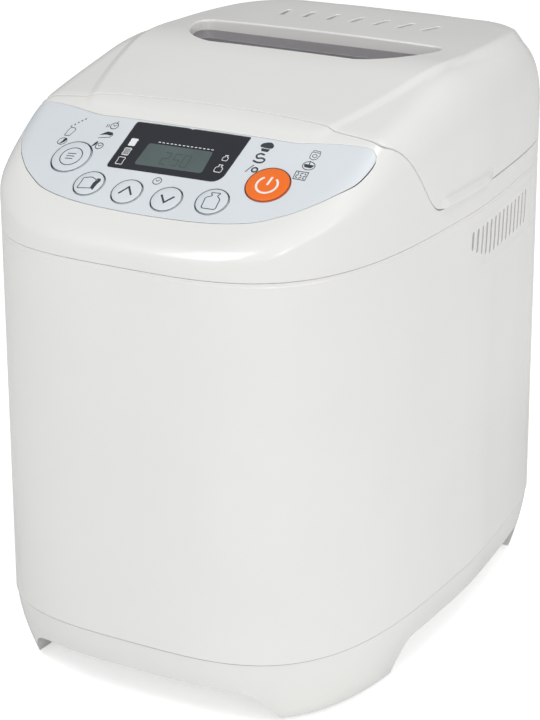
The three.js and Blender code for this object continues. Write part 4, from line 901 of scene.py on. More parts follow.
def hinge_notch(x, z):
    """Distance outside the two notches for the hinge in the rear edge of the lid."""
    middle = (HINGE["inner"] + HINGE["outer"]) / 2
    half = (HINGE["outer"] - HINGE["inner"]) / 2 + HINGE["gap"]
    return np.maximum(np.abs(np.abs(x) - middle) - half, z - HINGE["notch_z"])


def window_pane():
    """Tinted pane, a little domed, that rests on the seat of the well."""
    middle, lip = (WINDOW["front"] + WINDOW["rear"]) / 2, 0.3

    def domed(x, y):
        z = WINDOW["pane_high"] - WINDOW["pane_dome"] * ((y - middle) / 26) ** 2 + 0 * x
        return np.stack([x, y, z], -1)

    skin = Skin(Form(domed, np.arange(-80, 80.1, 2), np.arange(-8, 50.1, 2), closes=False))
    edge = window_outline(0.6)
    skin.trim(lambda x, y, z: -distance_to(edge, x, y) - lip)
    mesh = make_mesh("window_pane", thicken(skin, 2.2, lip))
    piece("window_pane", mesh, PANE, "lid", ["window_glass_outer"])


def window_rim(middle):
    """Whether a rim with this middle is the one round the window."""
    return middle[2] > WINDOW["rim_above"] and middle[1] < WINDOW["rim_before"]


def lid():
    """Lid moulding: cut at the seam, with window well, steam vents, hinge notches and a front cross wall."""
    lip = 0.7
    skin = head_skin(ledge=True)
    skin.trim(lambda x, y, z: seam(x, y, z) - SEAM_GAP - lip)
    opening = window_outline(0)
    skin.trim(lambda x, y, z: np.where(z > WINDOW["cut_above"], distance_to(opening, x, y), CLEAR))
    skin.trim(lambda x, y, z: steam_vent(x, y, z) - lip)
    skin.trim(lambda x, y, z: np.where(y > HINGE["notch_behind"], hinge_notch(x, z) - lip, CLEAR))
    solid = thicken(skin, SHELL, lip, [(window_rim, window_well)])
    add_prism(solid, *bulkhead(LID_WALL, LINER_LOW[2]))
    piece("lid_moulding", make_mesh("lid_moulding", solid), WHITE, "lid", ["lid_cover"])


def frame_moulding():
    """Frame moulding: cut at the seam and round the film, with the tongue and a cross wall."""
    lip = 0.45

    def beyond_film(x, y, z):
        on_slope = (z > LID_EDGE_Z - 0.5) & (y < SLOPE_REAR_Y)
        return np.where(on_slope, distance_to(FILM_EDGE, x, y), CLEAR) - FILM_GAP - lip

    skin = head_skin()
    skin.trim(lambda x, y, z: -seam(x, y, z) - lip)
    skin.trim(beyond_film)
    solid = thicken(skin, SHELL, lip)
    tongue = head_skin()
    tongue.trim(lambda x, y, z: np.minimum(TONGUE["reach"] - np.abs(seam(x, y, z)), TONGUE["rear"] - y))
    solid.merge(thicken(tongue, TONGUE["thick"], TONGUE["edge"], sunk=SHELL + TONGUE["behind"]))
    add_prism(solid, *bulkhead(FRAME_WALL, DECK_Z))
    mesh = make_mesh("frame_moulding", solid)
    piece("frame_moulding", mesh, WHITE, "root", ["upper_frame"])


# ------------------------------------------------------------------ body and base

TRAY_FOOT_Z = TRAY_LOW[2]
SKIRT_TUCK = 9.5
ARCH_Z = 21
FRONT_ARCH = {"foot": 77, "shoulder": 54, "lean": 4}
REAR_ARCH = {"foot": 60, "shoulder": 52, "lean": 1}
SIDE_ARCH = {"front": -64, "rear": 118, "bend": 16}
LEG_RISE = 0.67
TUCK_TOP_Z, TUCK_POWER = 45, 1.8
VENT_BED = {"front": 24, "rear": 116, "low": 210, "fade": 234.5, "high": 240, "deep": 0.35}


def bezier(a, b, c, d):
    """Points along a cubic curve."""
    t = np.linspace(0, 1, 17)[:, None]
    a, b, c, d = (np.array(p, float) for p in (a, b, c, d))
    return a * (1 - t) ** 3 + 3 * b * t * (1 - t) ** 2 + 3 * c * t * t * (1 - t) + d * t ** 3


def end_arch(arch, grow=0):
    """Arch through the front or rear of the base, in (x, z)."""
    side, top = arch["foot"] + grow, ARCH_Z + grow
    shoulder, lean = arch["shoulder"], arch["lean"]
    bend = shoulder + 0.6 * (side - shoulder)
    left = bezier((-side, -1), (lean - side, LEG_RISE * top), (-bend, top), (-shoulder, top))
    return np.concatenate([left, left[::-1] * [-1, 1]])


def side_arch(grow=0):
    """Arch across the base from flank to flank, in (y, z)."""
    top, bend = ARCH_Z + grow, SIDE_ARCH["bend"]
    legs = []
    for foot, way in ((SIDE_ARCH["front"] - grow, 1), (SIDE_ARCH["rear"] + grow, -1)):
        legs.append(bezier((foot, -1), (foot + way * 1.3, LEG_RISE * top), (foot + way * 0.4 * bend, top),
                           (foot + way * (grow + bend), top)))
    return np.concatenate([legs[0], legs[1][::-1]])


def side_slot(k):
    """The corners of one raked vent, in (y, z)."""
    y = SIDE_VENTS["front"] + k * SIDE_VENTS["pitch"]
    low = SIDE_VENTS["low"] + SIDE_VENTS["rise"] * max(0, 1 - k / 4) ** 1.3
    top, width = SIDE_VENTS["top"], SIDE_VENTS["width"]
    rake = SIDE_VENTS["rake"] * (top - low) / (top - SIDE_VENTS["low"])
    return rounded([(y, top, 1), (y - rake, low, 1), (y - rake + width, low, 1), (y + width, top, 1)], 30)


SIDE_SLOTS = [side_slot(k) for k in range(SIDE_VENTS["count"])]


def side_vent(x, y, z):
    """Distance outside the nearest side vent."""
    zone = VENT_ZONE
    best = np.full(x.shape, FAR)
    near = (np.abs(x) > zone["flank"]) & (z > zone["low"]) & (z < zone["high"])
    near &= (y > zone["front"]) & (y < zone["rear"])
    if near.any():
        found = np.full(near.sum(), FAR)
        for slot in SIDE_SLOTS:
            found = np.minimum(found, distance_to(slot, y[near], z[near]))
        best[near] = found
    return best


def body_point(angle, z):
    """Point of the body, with a shallow bed round the vents and a small step under the frame."""
    x, y = outline_at(angle, z, 0)
    front, rear, low = VENT_BED["front"], VENT_BED["rear"], VENT_BED["low"]
    along = smooth(y, front - 4, front + 6) * smooth(-y, -rear - 4, 6 - rear)
    bed = VENT_BED["deep"] * along * smooth(z, low, low + 1.2)
    bed *= 1 - smooth(z, VENT_BED["fade"], VENT_BED["high"])
    step = 0.3 * smooth(z, BODY_HIGH[2] - 2.2, BODY_HIGH[2] - 1.4)
    shrink = 1 - step / np.hypot(x, y)
    return np.stack([(x - np.sign(x) * bed * (np.abs(x) > VENT_ZONE["flank"])) * shrink, y * shrink, z], -1)


BODY_ROUND = round_steps(lambda x, y: np.where((np.abs(x) > 90) & (y > 2) & (y < 107), 0.85, 2.6))
BASE_ROUND = round_steps(lambda x, y: 2.6 + 0 * x)


def tuck(z):
    """How far the skirt of the base draws in towards the floor."""
    return SKIRT_TUCK * (np.maximum(0, TUCK_TOP_Z - z) / TUCK_TOP_Z) ** TUCK_POWER


def body():
    """Body moulding, with side vents and the bore for the cord gland."""
    lip = 0.35
    low, high = BODY_LOW[2], BODY_HIGH[2]
    rows = spaced((low + lip, low + 4, 4), (low + 4, 207, 12), (207, 237, 30), (237, 241, 3),
                  (241, high - 0.3, 8))
    skin = Skin(Form(body_point, BODY_ROUND, rows, closes=True))
    skin.trim(lambda x, y, z: side_vent(x, y, z) - lip)
    gland_low, gland_high = box_of("cord_gland")
    middle = (gland_low + gland_high) / 2
    bore = (gland_high[0] - gland_low[0]) / 2 - GLAND["grip"]
    skin.trim(lambda x, y, z: np.where(y > GLAND["behind"], np.hypot(x - middle[0], z - middle[2]) - bore,
                                       CLEAR))
    mesh = make_mesh("body_moulding", thicken(skin, SHELL, lip))
    piece("body_moulding", mesh, WHITE, "root", ["body_shell"])


def prism(outline, low, high, axis):
    """Closed prism of an outline along an axis."""
    count = len(outline)
    rings = [np.insert(np.asarray(outline, float), axis, end, axis=1) for end in (low, high)]
    faces = [tuple(range(count))[::-1], tuple(range(count, 2 * count))]
    faces += [(k, (k + 1) % count, count + (k + 1) % count, count + k) for k in range(count)]
    return raw_mesh("prism", np.concatenate(rings), faces, True)


def drum(heights, inset):
    """Closed solid between outlines at several heights."""
    angles = BASE_ROUND[:-1]
    rings = []
    for z in heights:
        level = np.full(angles.shape, float(z))
        rings.append(np.stack([*outline_at(angles, level, tuck(z) + inset), level], 1))
    count = len(angles)
    faces = [tuple(range(count))[::-1], tuple(range(count * (len(heights) - 1), count * len(heights)))]
    for low in range(0, count * (len(heights) - 1), count):
        high = low + count
        faces += [(low + k, low + (k + 1) % count, high + (k + 1) % count, high + k) for k in range(count)]
    return raw_mesh("drum", np.concatenate(rings), faces)


def carved(mesh, cuts=(), adds=()):
    """The mesh after exact cuts and unions with other closed meshes."""
    thing = scene_object("carving", mesh)
    tools = []
    for operation, tool_meshes in (("DIFFERENCE", cuts), ("UNION", adds)):
        for tool_mesh in tool_meshes:
            tool = scene_object("tool", tool_mesh)
            tools.append(tool)
            step = thing.modifiers.new("cut", "BOOLEAN")
            step.operation, step.solver, step.object = operation, "EXACT", tool
    result = evaluated(thing)
    for extra in [thing, *tools]:
        bpy.data.objects.remove(extra)
    return result


SHARP_EDGE = 32


def eased(mesh, width):
    """The mesh with its sharp edges rounded over and its faces shaded smooth up to them."""
    thing = scene_object("easing", mesh)
    step = thing.modifiers.new("bevel", "BEVEL")
    step.width, step.segments, step.limit_method = width * MM, 2, "ANGLE"
    step.angle_limit = math.radians(SHARP_EDGE)
    step.harden_normals = True
    mesh.shade_smooth()
    result = evaluated(thing)
    bpy.data.objects.remove(thing)
    return result


def arch_cuts(grow, ahead, aside):
    """Closed prisms of the three arches, out past the ends and the flanks of the base."""
    return [prism(end_arch(FRONT_ARCH, grow), -ahead, 0.5, 1),
            prism(end_arch(REAR_ARCH, grow), -0.5, ahead, 1), prism(side_arch(grow), -aside, aside, 0)]


def base():
    """Base moulding: a hollow drum cut through by the arches, which leaves four corner feet."""
    outer = drum([TRAY_FOOT_Z, 3, 5, 8, 12, 17, 23, 30, BASE_SEAM_Z], 0)
    arches = arch_cuts(0, 170, 125)
    room = drum([TRAY_FOOT_Z + SHELL, 8, 14, 24, BASE_SEAM_Z + 1], SHELL)
    room = carved(room, arch_cuts(SHELL, 175, 130))
    mesh = eased(carved(outer, [*arches, room]), 0.7)
    piece("base_moulding", mesh, WHITE, "root", ["base_tray"])


def foot_pad(node):
    """Turned rubber pad with a rounded rim and three fine grooves underneath."""
    low, high = box_of(node)
    middle, radius, height = (low + high) / 2, (high[0] - low[0]) / 2, high[2] - low[2]
    profile = [(0, 0.5), (2.2, 0.5), (2.5, 0), (4.6, 0), (4.9, 0.5), (5.4, 0.5), (5.7, 0), (radius - 1, 0),
               (radius - 0.3, 0.3), (radius, 1), (radius, height - 0.4), (radius - 0.4, height), (0, height)]
    mesh = turned(profile, 48, middle)
    piece(node + "_pad", mesh, RUBBER, "root", [node])


def turned(profile, segments, middle, edge=30):
    """Closed form turned about an upright axis, from (radius, height) points that start and end on it."""
    points, faces, rings = [], [], []
    for radius, height in profile:
        if radius < 1e-6:
            rings.append([len(points)])
            points.append((middle[0], middle[1], height))
        else:
            ring = arc(middle[0], middle[1], radius, steps=segments)
            rings.append(list(range(len(points), len(points) + segments)))
            points.extend((x, y, height) for x, y in ring)
    for below, above in zip(rings, rings[1:]):
        for k in range(segments):
            m = (k + 1) % segments
            if len(below) == 1:
                faces.append((below[0], above[m], above[k]))
            elif len(above) == 1:
                faces.append((below[k], below[m], above[0]))
            else:
                faces.append((below[k], below[m], above[m], above[k]))
    mesh = raw_mesh("turning", points, faces)
    mesh.shade_smooth()
    mesh.set_sharp_from_angle(angle=math.radians(edge))
    return mesh


# ------------------------------------------------------------------ panel: film, display, keys and print

SLOPE_LENGTH = math.cos(math.atan(PANEL_SLOPE))
HALF_FILM = [
    (0, -90.7), (40, -90.5), (57, -90.3), (70, -88), (79, -86), (89, -84.3), (98, -83.3), (101.2, -85.6),
    (101, -93), (98.5, -103), (92.5, -113), (87, -119.8), (79, -127.3), (70.5, -133), (64, -136.7),
    (56, -139.4), (45, -141.8), (32, -143.4), (17, -144.2)]
FILM_EDGE = curved(HALF_FILM + [(0, -144.5)] + [(-x, y) for x, y in HALF_FILM[:0:-1]], 8)
DISPLAY_EDGE = rounded([
    (-33.6, -91.9, 0.4), (-2, -91.6, 0.2), (-0.9, -92.7, 0.3), (0.2, -91.6, 0.2), (33.7, -91.4, 0.4),
    (31.9, -119.7, 5.5), (-34.5, -120.5, 1.6)], 12)
LCD_EDGE = rounded([(-19, -103.6, 1), (18.6, -103.2, 1), (19.6, -116.4, 1.2), (-20, -117, 1.2)], 15)
KEYS = {
    "key_menu": ((-57.6, -117.7), (-0.03845, -0.50713, 0.86101), 11.0),
    "key_browning": ((-37.4, -131.9), (-0.01729, -0.50743, 0.86152), 8.4),
    "key_up": ((-13.8, -133.3), (-0.00311, -0.50751, 0.86164), 8.3),
    "key_down": ((9.9, -133.9), (0.00169, -0.50751, 0.86164), 8.3),
    "key_weight": ((34.5, -131), (0.01495, -0.50745, 0.86155), 8.7),
    "key_start": ((57.5, -116.1), (0.03607, -0.50718, 0.86109), 11.5),
}
KEY_GAP = 0.42


def panel_form(lift, columns, rows):
    """The slope of the panel, raised by a lift."""
    return Form(lambda x, y: np.stack([x, y, head_height(x, y) + lift], -1), columns, rows, closes=False)


def key_distance(x, y):
    """Distance outside the nearest key, measured on the slope of the panel."""
    found = [np.hypot(x - a, (y - b) / SLOPE_LENGTH) - radius for (a, b), _, radius in KEYS.values()]
    return np.min(found, 0)


def film():
    """Printed film, with openings for the display and the keys."""
    lip = 0.25
    skin = Skin(panel_form(0, np.arange(-103, 103.1, 1.25), np.arange(-146.5, -76, 1.1)))
    skin.trim(lambda x, y, z: -distance_to(FILM_EDGE, x, y) - lip)
    skin.trim(lambda x, y, z: distance_to(DISPLAY_EDGE, x, y) - 0.2 - lip)
    skin.trim(lambda x, y, z: key_distance(x, y) - KEY_GAP - lip)
    mesh = make_mesh("panel_film", thicken(skin, 1, lip))
    piece("panel_film", mesh, FILM, "root", ["panel_overlay"])


def display():
    """Dark glass, with the liquid crystal cell as a thin sheet on it."""
    lip = 0.2
    skin = Skin(panel_form(-0.05, np.arange(-37, 37.1, 1), np.arange(-123, -89, 1)))
    skin.trim(lambda x, y, z: -distance_to(DISPLAY_EDGE, x, y) - lip)
    mesh = make_mesh("display_window_glass", thicken(skin, 1.4, lip))
    piece("display_window_glass", mesh, SLATE, "root", ["display_window"])
    glass = Skin(panel_form(0.0, np.arange(-22, 22.1, 1), np.arange(-119, -101, 1)))
    glass.trim(lambda x, y, z: -distance_to(LCD_EDGE, x, y) - 0.02)
    piece("liquid_crystal_cell", make_mesh("liquid_crystal_cell", thicken(glass, 0.04, 0.01)), LCD, "root")


def ribbon(points, width, closed):
    """Left and right edge of a stroke of one width along a line."""
    p = np.asarray(points, float)
    ahead = np.roll(p, -1, 0) - p
    behind = p - np.roll(p, 1, 0)
    if not closed:
        ahead[-1], behind[0] = behind[-1], ahead[0]
    turns = []
    for leg in (ahead, behind):
        leg = unit(leg)
        turns.append(np.stack([-leg[:, 1], leg[:, 0]], 1))
    mitre = unit(turns[0] + turns[1])
    reach = width / 2 / np.maximum(0.45, (mitre * turns[0]).sum(1, keepdims=True))
    return p + mitre * reach, p - mitre * reach


def print_mesh(strokes, fills, place, low=0.01, high=0.05):
    """Raised print: strokes as (points, width, closed), and filled outlines.

    place(a, b, height) lays them on a surface.
    """
    points, faces = [], []
    for line, width, closed in strokes:
        left, right = ribbon(line, width, closed)
        count, start = len(left), len(points)
        for k in range(count):
            points += [place(*left[k], high), place(*right[k], high),
                       place(*right[k], low), place(*left[k], low)]
        for k in range(count if closed else count - 1):
            a, b = start + 4 * k, start + 4 * ((k + 1) % count)
            faces += [(a + s, b + s, b + (s + 1) % 4, a + (s + 1) % 4) for s in range(4)]
        if not closed:
            end = start + 4 * (count - 1)
            faces += [(start, start + 1, start + 2, start + 3), (end + 3, end + 2, end + 1, end)]
    for outline in fills:
        count, start = len(outline), len(points)
        for height in (high, low):
            points += [place(a, b, height) for a, b in outline]
        flat = [Vector((a, b, 0)) for a, b in outline]
        for tri in tessellate_polygon([flat]):
            faces += [tuple(start + k for k in tri), tuple(start + count + k for k in tri[::-1])]
        faces += [(start + k, start + (k + 1) % count, start + count + (k + 1) % count, start + count + k)
                  for k in range(count)]
    return raw_mesh("print", points, faces, True)


def on_panel(a, b, height):
    """Point over the slope of the panel, at a height above it."""
    return float(a), float(b), float(head_height(np.array([a]), np.array([b]))[0]) + height


def oval(x, y, across, along, start=0.0, end=360.0, steps=24):
    """An arc as it looks on the slope: wider across than along."""
    return (arc(0, 0, 1, start, end, steps) * [across, along]) + [x, y]


def symbol(corners, x, y, half):
    """Rounded outline from [x, y, radius] corners, moved and scaled."""
    return rounded([(x + half * a, y + half * b, half * r) for a, b, r in corners], 30)


# A slice of tin bread from the front, and a squat kitchen weight with a small knob.
LOAF = [(-0.9, -1, 0.2), (0.9, -1, 0.2), (0.85, 0.45, 0.1), (1.05, 0.8, 0.25), (0.75, 1.05, 0.3),
        (-0.75, 1.05, 0.3), (-1.05, 0.8, 0.25), (-0.85, 0.45, 0.1)]
WEIGHT = [(-1, -1, 0.3), (1, -1, 0.3), (1.05, 0.3, 0.35), (0.35, 0.65, 0.1), (0.3, 0.85, 0.05),
          (0.7, 1.2, 0.08), (-0.7, 1.2, 0.08), (-0.3, 0.85, 0.05), (-0.35, 0.65, 0.1), (-1.05, 0.3, 0.35)]


def drawn(width, *points):
    """An open stroke."""
    return list(points), width, False


def clock_face(x, y, size):
    """Round dial with two hands."""
    hands = drawn(0.36, (x + 0.5 * size, y + 0.34 * size), (x, y - 0.1 * size),
                  (x - 0.45 * size, y + 0.3 * size))
    return [(oval(x, y, size, size * SLOPE_LENGTH), 0.42, True), hands]


def left_pictograms():
    """Wheat ear, loaf, roll, timer, cake and jam beside the menu key."""
    strokes = []
    for k in range(5):
        x, y = -69.8 + 1.4 * k, -99.1 + 1.3 * k
        strokes += [drawn(0.38, (x - 0.45, y - 0.4), (x + 0.3, y + 0.3)),
                    drawn(0.34, (x - 0.25, y + 0.45), (x + 0.3, y - 0.35))]
    slice_edge = rounded([
        (-70.4, -105.1, 0.3), (-67.4, -105.1, 0.3), (-66.5, -103.2, 0.4), (-65.7, -101.2, 0.6),
        (-67, -100, 0.8), (-69.6, -99.9, 0.8), (-70.2, -102.1, 0.4)], 30)
    strokes += [(slice_edge, 0.35, True), (oval(-69.2, -108.8, 2.6, 2.1), 0.35, True)]
    strokes += clock_face(-44.9, -96.3, 2.2)
    strokes.append(drawn(0.4, (-44.5, -94.2), (-44, -93.2)))
    strokes += [drawn(0.32, (x - 0.2, -97.5), (x + 0.2, -96.6), (x - 0.1, -95.7)) for x in (-48.2, -49.3)]
    strokes.append(drawn(0.35, (-49.7, -104.6), (-46.4, -104), (-43.1, -103.3), (-42.3, -101.7)))
    strokes += clock_face(-45.9, -109.3, 2.1)
    fills = [
        curved([(-70, -110.5), (-67.6, -109), (-67.3, -106.9), (-68.7, -107.2), (-69.3, -108.9)], 4),
        [(-50, -102.7), (-46.5, -100.1), (-43.2, -100.4), (-42.4, -101.6), (-43.5, -102.4), (-46, -102)],
        curved([(-50.2, -110), (-48.9, -109.4), (-48, -107.7), (-48.3, -106.6), (-49.4, -107.6)], 4)]
    return strokes, fills


def right_pictograms():
    """Bun, dough, rolling pin, mug, bowl and basket beside the start key."""
    dough = curved([
        (46.6, -100.1), (44.2, -99.7), (42.6, -101), (43.8, -102.5), (46.2, -102.1), (48.1, -102.9),
        (47.4, -104.5), (44.8, -104.9), (42.2, -104.2)], 5, closed=False)
    mug = rounded([
        (70, -96.7, 0.4), (69.7, -94.3, 0.5), (70.3, -92.2, 0.3), (74, -92.2, 0.3), (74.6, -94.3, 0.5),
        (74, -96.7, 0.6), (72.2, -97.6, 1)], 30)
    basket = [(67.6, -105.4), (74.2, -104.9), (74.4, -109.6), (68, -109.9)]
    strokes = [
        (dough, 0.95, False), drawn(0.5, (41.9, -111.3), (43, -108.8), (44.3, -106.6)),
        (oval(46.1, -109.3, 1.5, 1.25), 0.85, True), (mug, 0.32, True),
        drawn(0.3, (70.2, -93.2), (74.1, -93.1)), (oval(72.2, -95.2, 1.2, 0.9), 0.3, True),
        (oval(72.1, -101.2, 3.3, 2.4), 0.4, True),
        drawn(0.5, (71.6, -98.4), (72, -100.6)), (basket, 0.4, True)]
    for k in range(3):
        for m in range(3):
            x, y = 69.2 + 1.95 * k, -106.2 - 1.3 * m
            half, rise = (0.6, 0.4) if (k + m) % 2 else (0.5, -0.3)
            strokes.append(drawn(0.5, (x - half, y - rise), (x + half, y + rise)))
    fills = [
        curved([(41.9, -95.8), (41.7, -94), (43.5, -93), (44.9, -92.6), (46.9, -92.7), (48.6, -94.4),
                (47.6, -96)], 5),
        rounded([(42.7, -96.5, 0.1), (47.6, -96.5, 0.1), (47.1, -98.2, 0.4), (43.4, -98.2, 0.4)], 30),
        rounded([(69.2, -100.6, 0.2), (74.8, -100.4, 0.2), (73.9, -102.3, 0.7), (70.2, -102.4, 0.7)], 30)]
    return strokes, fills


def panel_print():
    """Grey pictograms of the programmes beside the keys, and the clock over the time keys."""
    strokes, fills = (left + right for left, right in zip(left_pictograms(), right_pictograms()))
    strokes = clock_face(-1.2, -124.6, 2.3) + strokes
    piece("panel_pictograms", print_mesh(strokes, fills, on_panel), INK, "root")


# The time as drawn with seven segments a digit.
SEGMENTS = {
    "a": ((0, 7), (3.6, 7)), "b": ((3.6, 7), (3.5, 3.5)), "c": ((3.5, 3.5), (3.4, 0)),
    "d": ((0, 0), (3.4, 0)), "e": ((0, 3.5), (0, 0)), "f": ((0, 7), (0, 3.5)), "g": ((0, 3.5), (3.5, 3.5))}
DIGITS = ((-6.5, "abged"), (-0.2, "afgcd"), (5.3, "abcdef"))
DIGIT_Y, COLON_X = -114.6, -1.9


def display_print():
    """White loaves, weights and programme dashes on the display glass, and the faint time."""
    loaves = ((-28.2, -104.5), (-28.4, -110.4), (-28.6, -116.2))
    strokes = [(symbol(LOAF, x, y, 2.1), 0.34, True) for x, y in loaves]
    strokes += [(symbol(WEIGHT, 27.3, -105.7, 1.45), 0.3, True),
                (symbol(WEIGHT, 27.2, -112.2, 2), 0.34, True)]
    strokes += [drawn(0.17, (-30, y), (-26.7, y)) for y in np.arange(-112, -108.4, 0.55)]
    mesh = print_mesh(strokes, [symbol(LOAF, -28.2, -104.5, 2)], on_panel)
    piece("display_symbols", mesh, PALE_INK, "root")
    marks = row_of_marks("programme_dashes", 14, (-13.6, -102.3), (2.4, 0.01), (1.35, 0.5))
    piece("programme_dashes", marks, PALE_INK, "root")
    lines = [drawn(0.6, (COLON_X, y), (COLON_X, y + 0.6)) for y in (-113.2, -109.8)]
    for x, lit in DIGITS:
        lines += [drawn(0.65, *((x + a, DIGIT_Y + b) for a, b in SEGMENTS[name])) for name in lit]
    piece("display_digits", print_mesh(lines, [], on_panel, 0.02, 0.04), FAINT, "root")


def row_of_marks(name, count, first, step, size):
    """A row of small raised bars on the slope of the panel, laid out by one repeating rule."""
    tree = bpy.data.node_groups.new(name, "GeometryNodeTree")
    sockets(tree, "INPUT", [("Count", "Int", count), ("First", "Vector", None), ("Step", "Vector", None),
                            ("Bar", "Vector", None), ("Finish", "Material", PALE_INK)])
    sockets(tree, "OUTPUT", [("Geometry", "Geometry", None)])
    given, out = tree.nodes.new("NodeGroupInput"), tree.nodes.new("NodeGroupOutput")
    line = add_node(tree, "GeometryNodeMeshLine", {"mode": "OFFSET"})
    bar = tree.nodes.new("GeometryNodeMeshCube")
    tilt = add_node(tree, "FunctionNodeInputVector", {"vector": (math.atan(PANEL_SLOPE), 0, 0)})
    spread = tree.nodes.new("GeometryNodeInstanceOnPoints")
    real = tree.nodes.new("GeometryNodeRealizeInstances")
    painted = tree.nodes.new("GeometryNodeSetMaterial")
    wire(tree, (given, "Count", line, "Count"), (given, "First", line, "Start Location"),
         (given, "Step", line, "Offset"), (given, "Bar", bar, "Size"), (line, "Mesh", spread, "Points"),
         (bar, "Mesh", spread, "Instance"), (tilt, 0, spread, "Rotation"),
         (spread, "Instances", real, "Geometry"), (real, "Geometry", painted, "Geometry"),
         (given, "Finish", painted, "Material"), (painted, "Geometry", out, 0))
    height, thick = 0.03, 0.04
    start = on_panel(*first, height)
    ahead = on_panel(first[0] + step[0], first[1] + step[1], height)
    values = {"Count": count, "First": [v * MM for v in start], "Bar": [v * MM for v in (*size, thick)],
              "Step": [(b - a) * MM for a, b in zip(start, ahead)], "Finish": PALE_INK}
    thing = scene_object(name, bpy.data.meshes.new(name))
    rule = thing.modifiers.new("row", "NODES")
    rule.node_group = tree
    for socket in tree.interface.items_tree:
        if socket.in_out == "INPUT":
            rule[socket.identifier] = values[socket.name]
    result = evaluated(thing)
    thing.modifiers.clear()
    bpy.data.objects.remove(thing)
    return result


def key_icon(name):
    """Strokes and fills of the symbol on a key, about its middle."""
    if name == "key_menu":
        lines = [drawn(0.5, (-2.9, y), (end, y + 0.1)) for y, end in ((1.9, 2.2), (0.1, 1.9), (-1.7, 1.6))]
        return [(arc(0, 0, 6.2, steps=40), 0.5, True), *lines], []
    if name == "key_browning":
        face = rounded([(-5, -4.2, 0.5), (2.6, -3.2, 0.5), (2.7, 0.4, 0.2), (3.4, 2.8, 0.9), (-0.4, 4.3, 2),
                        (-5, 3.1, 1.2), (-4.6, 1.2, 0.2)], 20)
        side = [(2.7, -3.3), (4.4, -4.2), (5, 0), (5.8, 2.4), (5.2, 3.9), (3.1, 3.9), (3.7, 2.4), (3, 0.5)]
        return [(face, 0.5, True)], [side]
    if name == "key_up":
        return [drawn(1.05, (-3.7, -2.2), (-0.1, 3.1), (3.7, -2))], []
    if name == "key_down":
        return [drawn(1.05, (-3.8, 2.2), (0, -2.6), (3.8, 2.2))], []
    if name == "key_weight":
        line = rounded([(-3.1, 5.6, 0.4), (2.3, 6.1, 0.4), (1.2, 4, 0.5), (3.6, 2, 1.2), (4.3, -4.9, 1.2),
                        (-3.6, -5.3, 1.2), (-4.5, 1.9, 1.2), (-1.4, 3.6, 0.5)], 20)
        return [(line, 0.5, True)], []
    return [(arc(-0.2, -0.4, 5.5, 128, 415, 44), 1.15, False), drawn(1.2, (0.2, 5.2), (-0.1, -0.6))], []


def keys():
    """A low domed cap, a printed ring and a symbol for each key, square to its own normal."""
    for name, (middle, normal, radius) in KEYS.items():
        up = unit(np.array(normal))
        across = unit(np.cross([0, 1, 0], up))
        along = np.cross(up, across)
        middle = on_panel(*middle, 0)
        cap = [(0, -2.6), (radius - 0.4, -2.6), (radius, -2.2), (radius, -0.2), (radius - 0.1, 0.05),
               (radius - 0.35, 0.17), (0.6 * radius, 0.3), (0.3 * radius, 0.36), (0, 0.38)]
        mesh = turned(cap, 96, (0, 0), 40)
        turn = Matrix((across, along, up)).transposed().to_4x4()
        turn.translation = Vector(middle) * MM
        mesh.transform(turn)
        start = name == "key_start"
        material, slot = (ORANGE, "key_orange") if start else (KEY, "key_grey")
        piece(name + "_cap", mesh, material, name, [name])
        rim, level = [r for r, _ in cap[:4:-1]], [h for _, h in cap[:4:-1]]

        def on_key(a, b, height):
            rise = np.interp(math.hypot(a, b), rim, level) + height
            return np.array(middle) + a * across + b * along + rise * up

        strokes, fills = key_icon(name)
        ring = [(arc(0, 0, radius - 0.2, steps=72), 0.36, True)]
        piece(name + "_ring", print_mesh(ring, [], on_key), INK, name)
        piece(name + "_print", print_mesh(strokes, fills, on_key), PALE_INK if start else INK, name)


# ------------------------------------------------------------------ deck, lid underside and hinge


def plate(low, high, inset, front, hole):
    """Flat plate inside the outline of the head, from a front line back, with a hole."""
    angles = BASE_ROUND[:-1]
    x, y = outline_at(angles, np.full(angles.shape, 250.0), inset)
    edge = np.stack([x, np.maximum(y, front)], 1)
    keep = np.r_[True, np.abs(np.diff(edge[:, 0])) + np.abs(np.diff(edge[:, 1])) > 0.01]
    return eased(carved(prism(edge[keep], low, high, 2), [prism(hole, low - 1, high + 1, 2)]), 0.5)


def rectangle(half_width, front, rear, corner):
    """Rounded rectangle, even about the middle plane."""
    return rounded([(-half_width, front, corner), (half_width, front, corner), (half_width, rear, corner),
                    (-half_width, rear, corner)], 6)


def deck():
    """Deck of the frame round the mouth of the chamber, and the white rim under the lid round its liner."""
    hole = rectangle(MOUTH["half_width"], MOUTH["front"], MOUTH["rear"], MOUTH["corner"])
    mesh = plate(DECK_Z, DECK_Z + DECK["thick"], DECK["inset"], DECK["front"], hole)
    piece("frame_deck", mesh, WHITE, "root")
    low, high = LINER_LOW, LINER_HIGH
    rim, lap = LID_RIM, LID_RIM["lap"]
    hole = rectangle(high[0] - lap, low[1] + lap, high[1] - lap, rim["corner"])
    mesh = plate(high[2] + rim["low"], high[2] + rim["high"], rim["inset"], rim["front"], hole)
    piece("lid_underside", mesh, WHITE, "lid")


def hinge_eyes(name, body, spans, web):
    """Bored barrels on webs, on both sides. A web is given as (front, rear, low, high)."""
    front, rear, low_z, high_z = web
    pin = HINGE["y"], HINGE["z"]
    joined = bmesh.new()
    for side in (-1, 1):
        for a, b in spans:
            low, high = sorted((side * a, side * b))
            barrel = prism(arc(*pin, HINGE["radius"], steps=32), low, high, 0)
            block = prism([(front, low_z), (rear, low_z), (rear, high_z), (front, high_z)], low, high, 0)
            bore = prism(arc(*pin, HINGE["bore"], steps=24), low - 1, high + 1, 0)
            joined.from_mesh(carved(carved(barrel, adds=[block]), [bore]))
    whole = bpy.data.meshes.new(name)
    joined.to_mesh(whole)
    joined.free()
    piece(name, eased(whole, 0.2), WHITE, body)


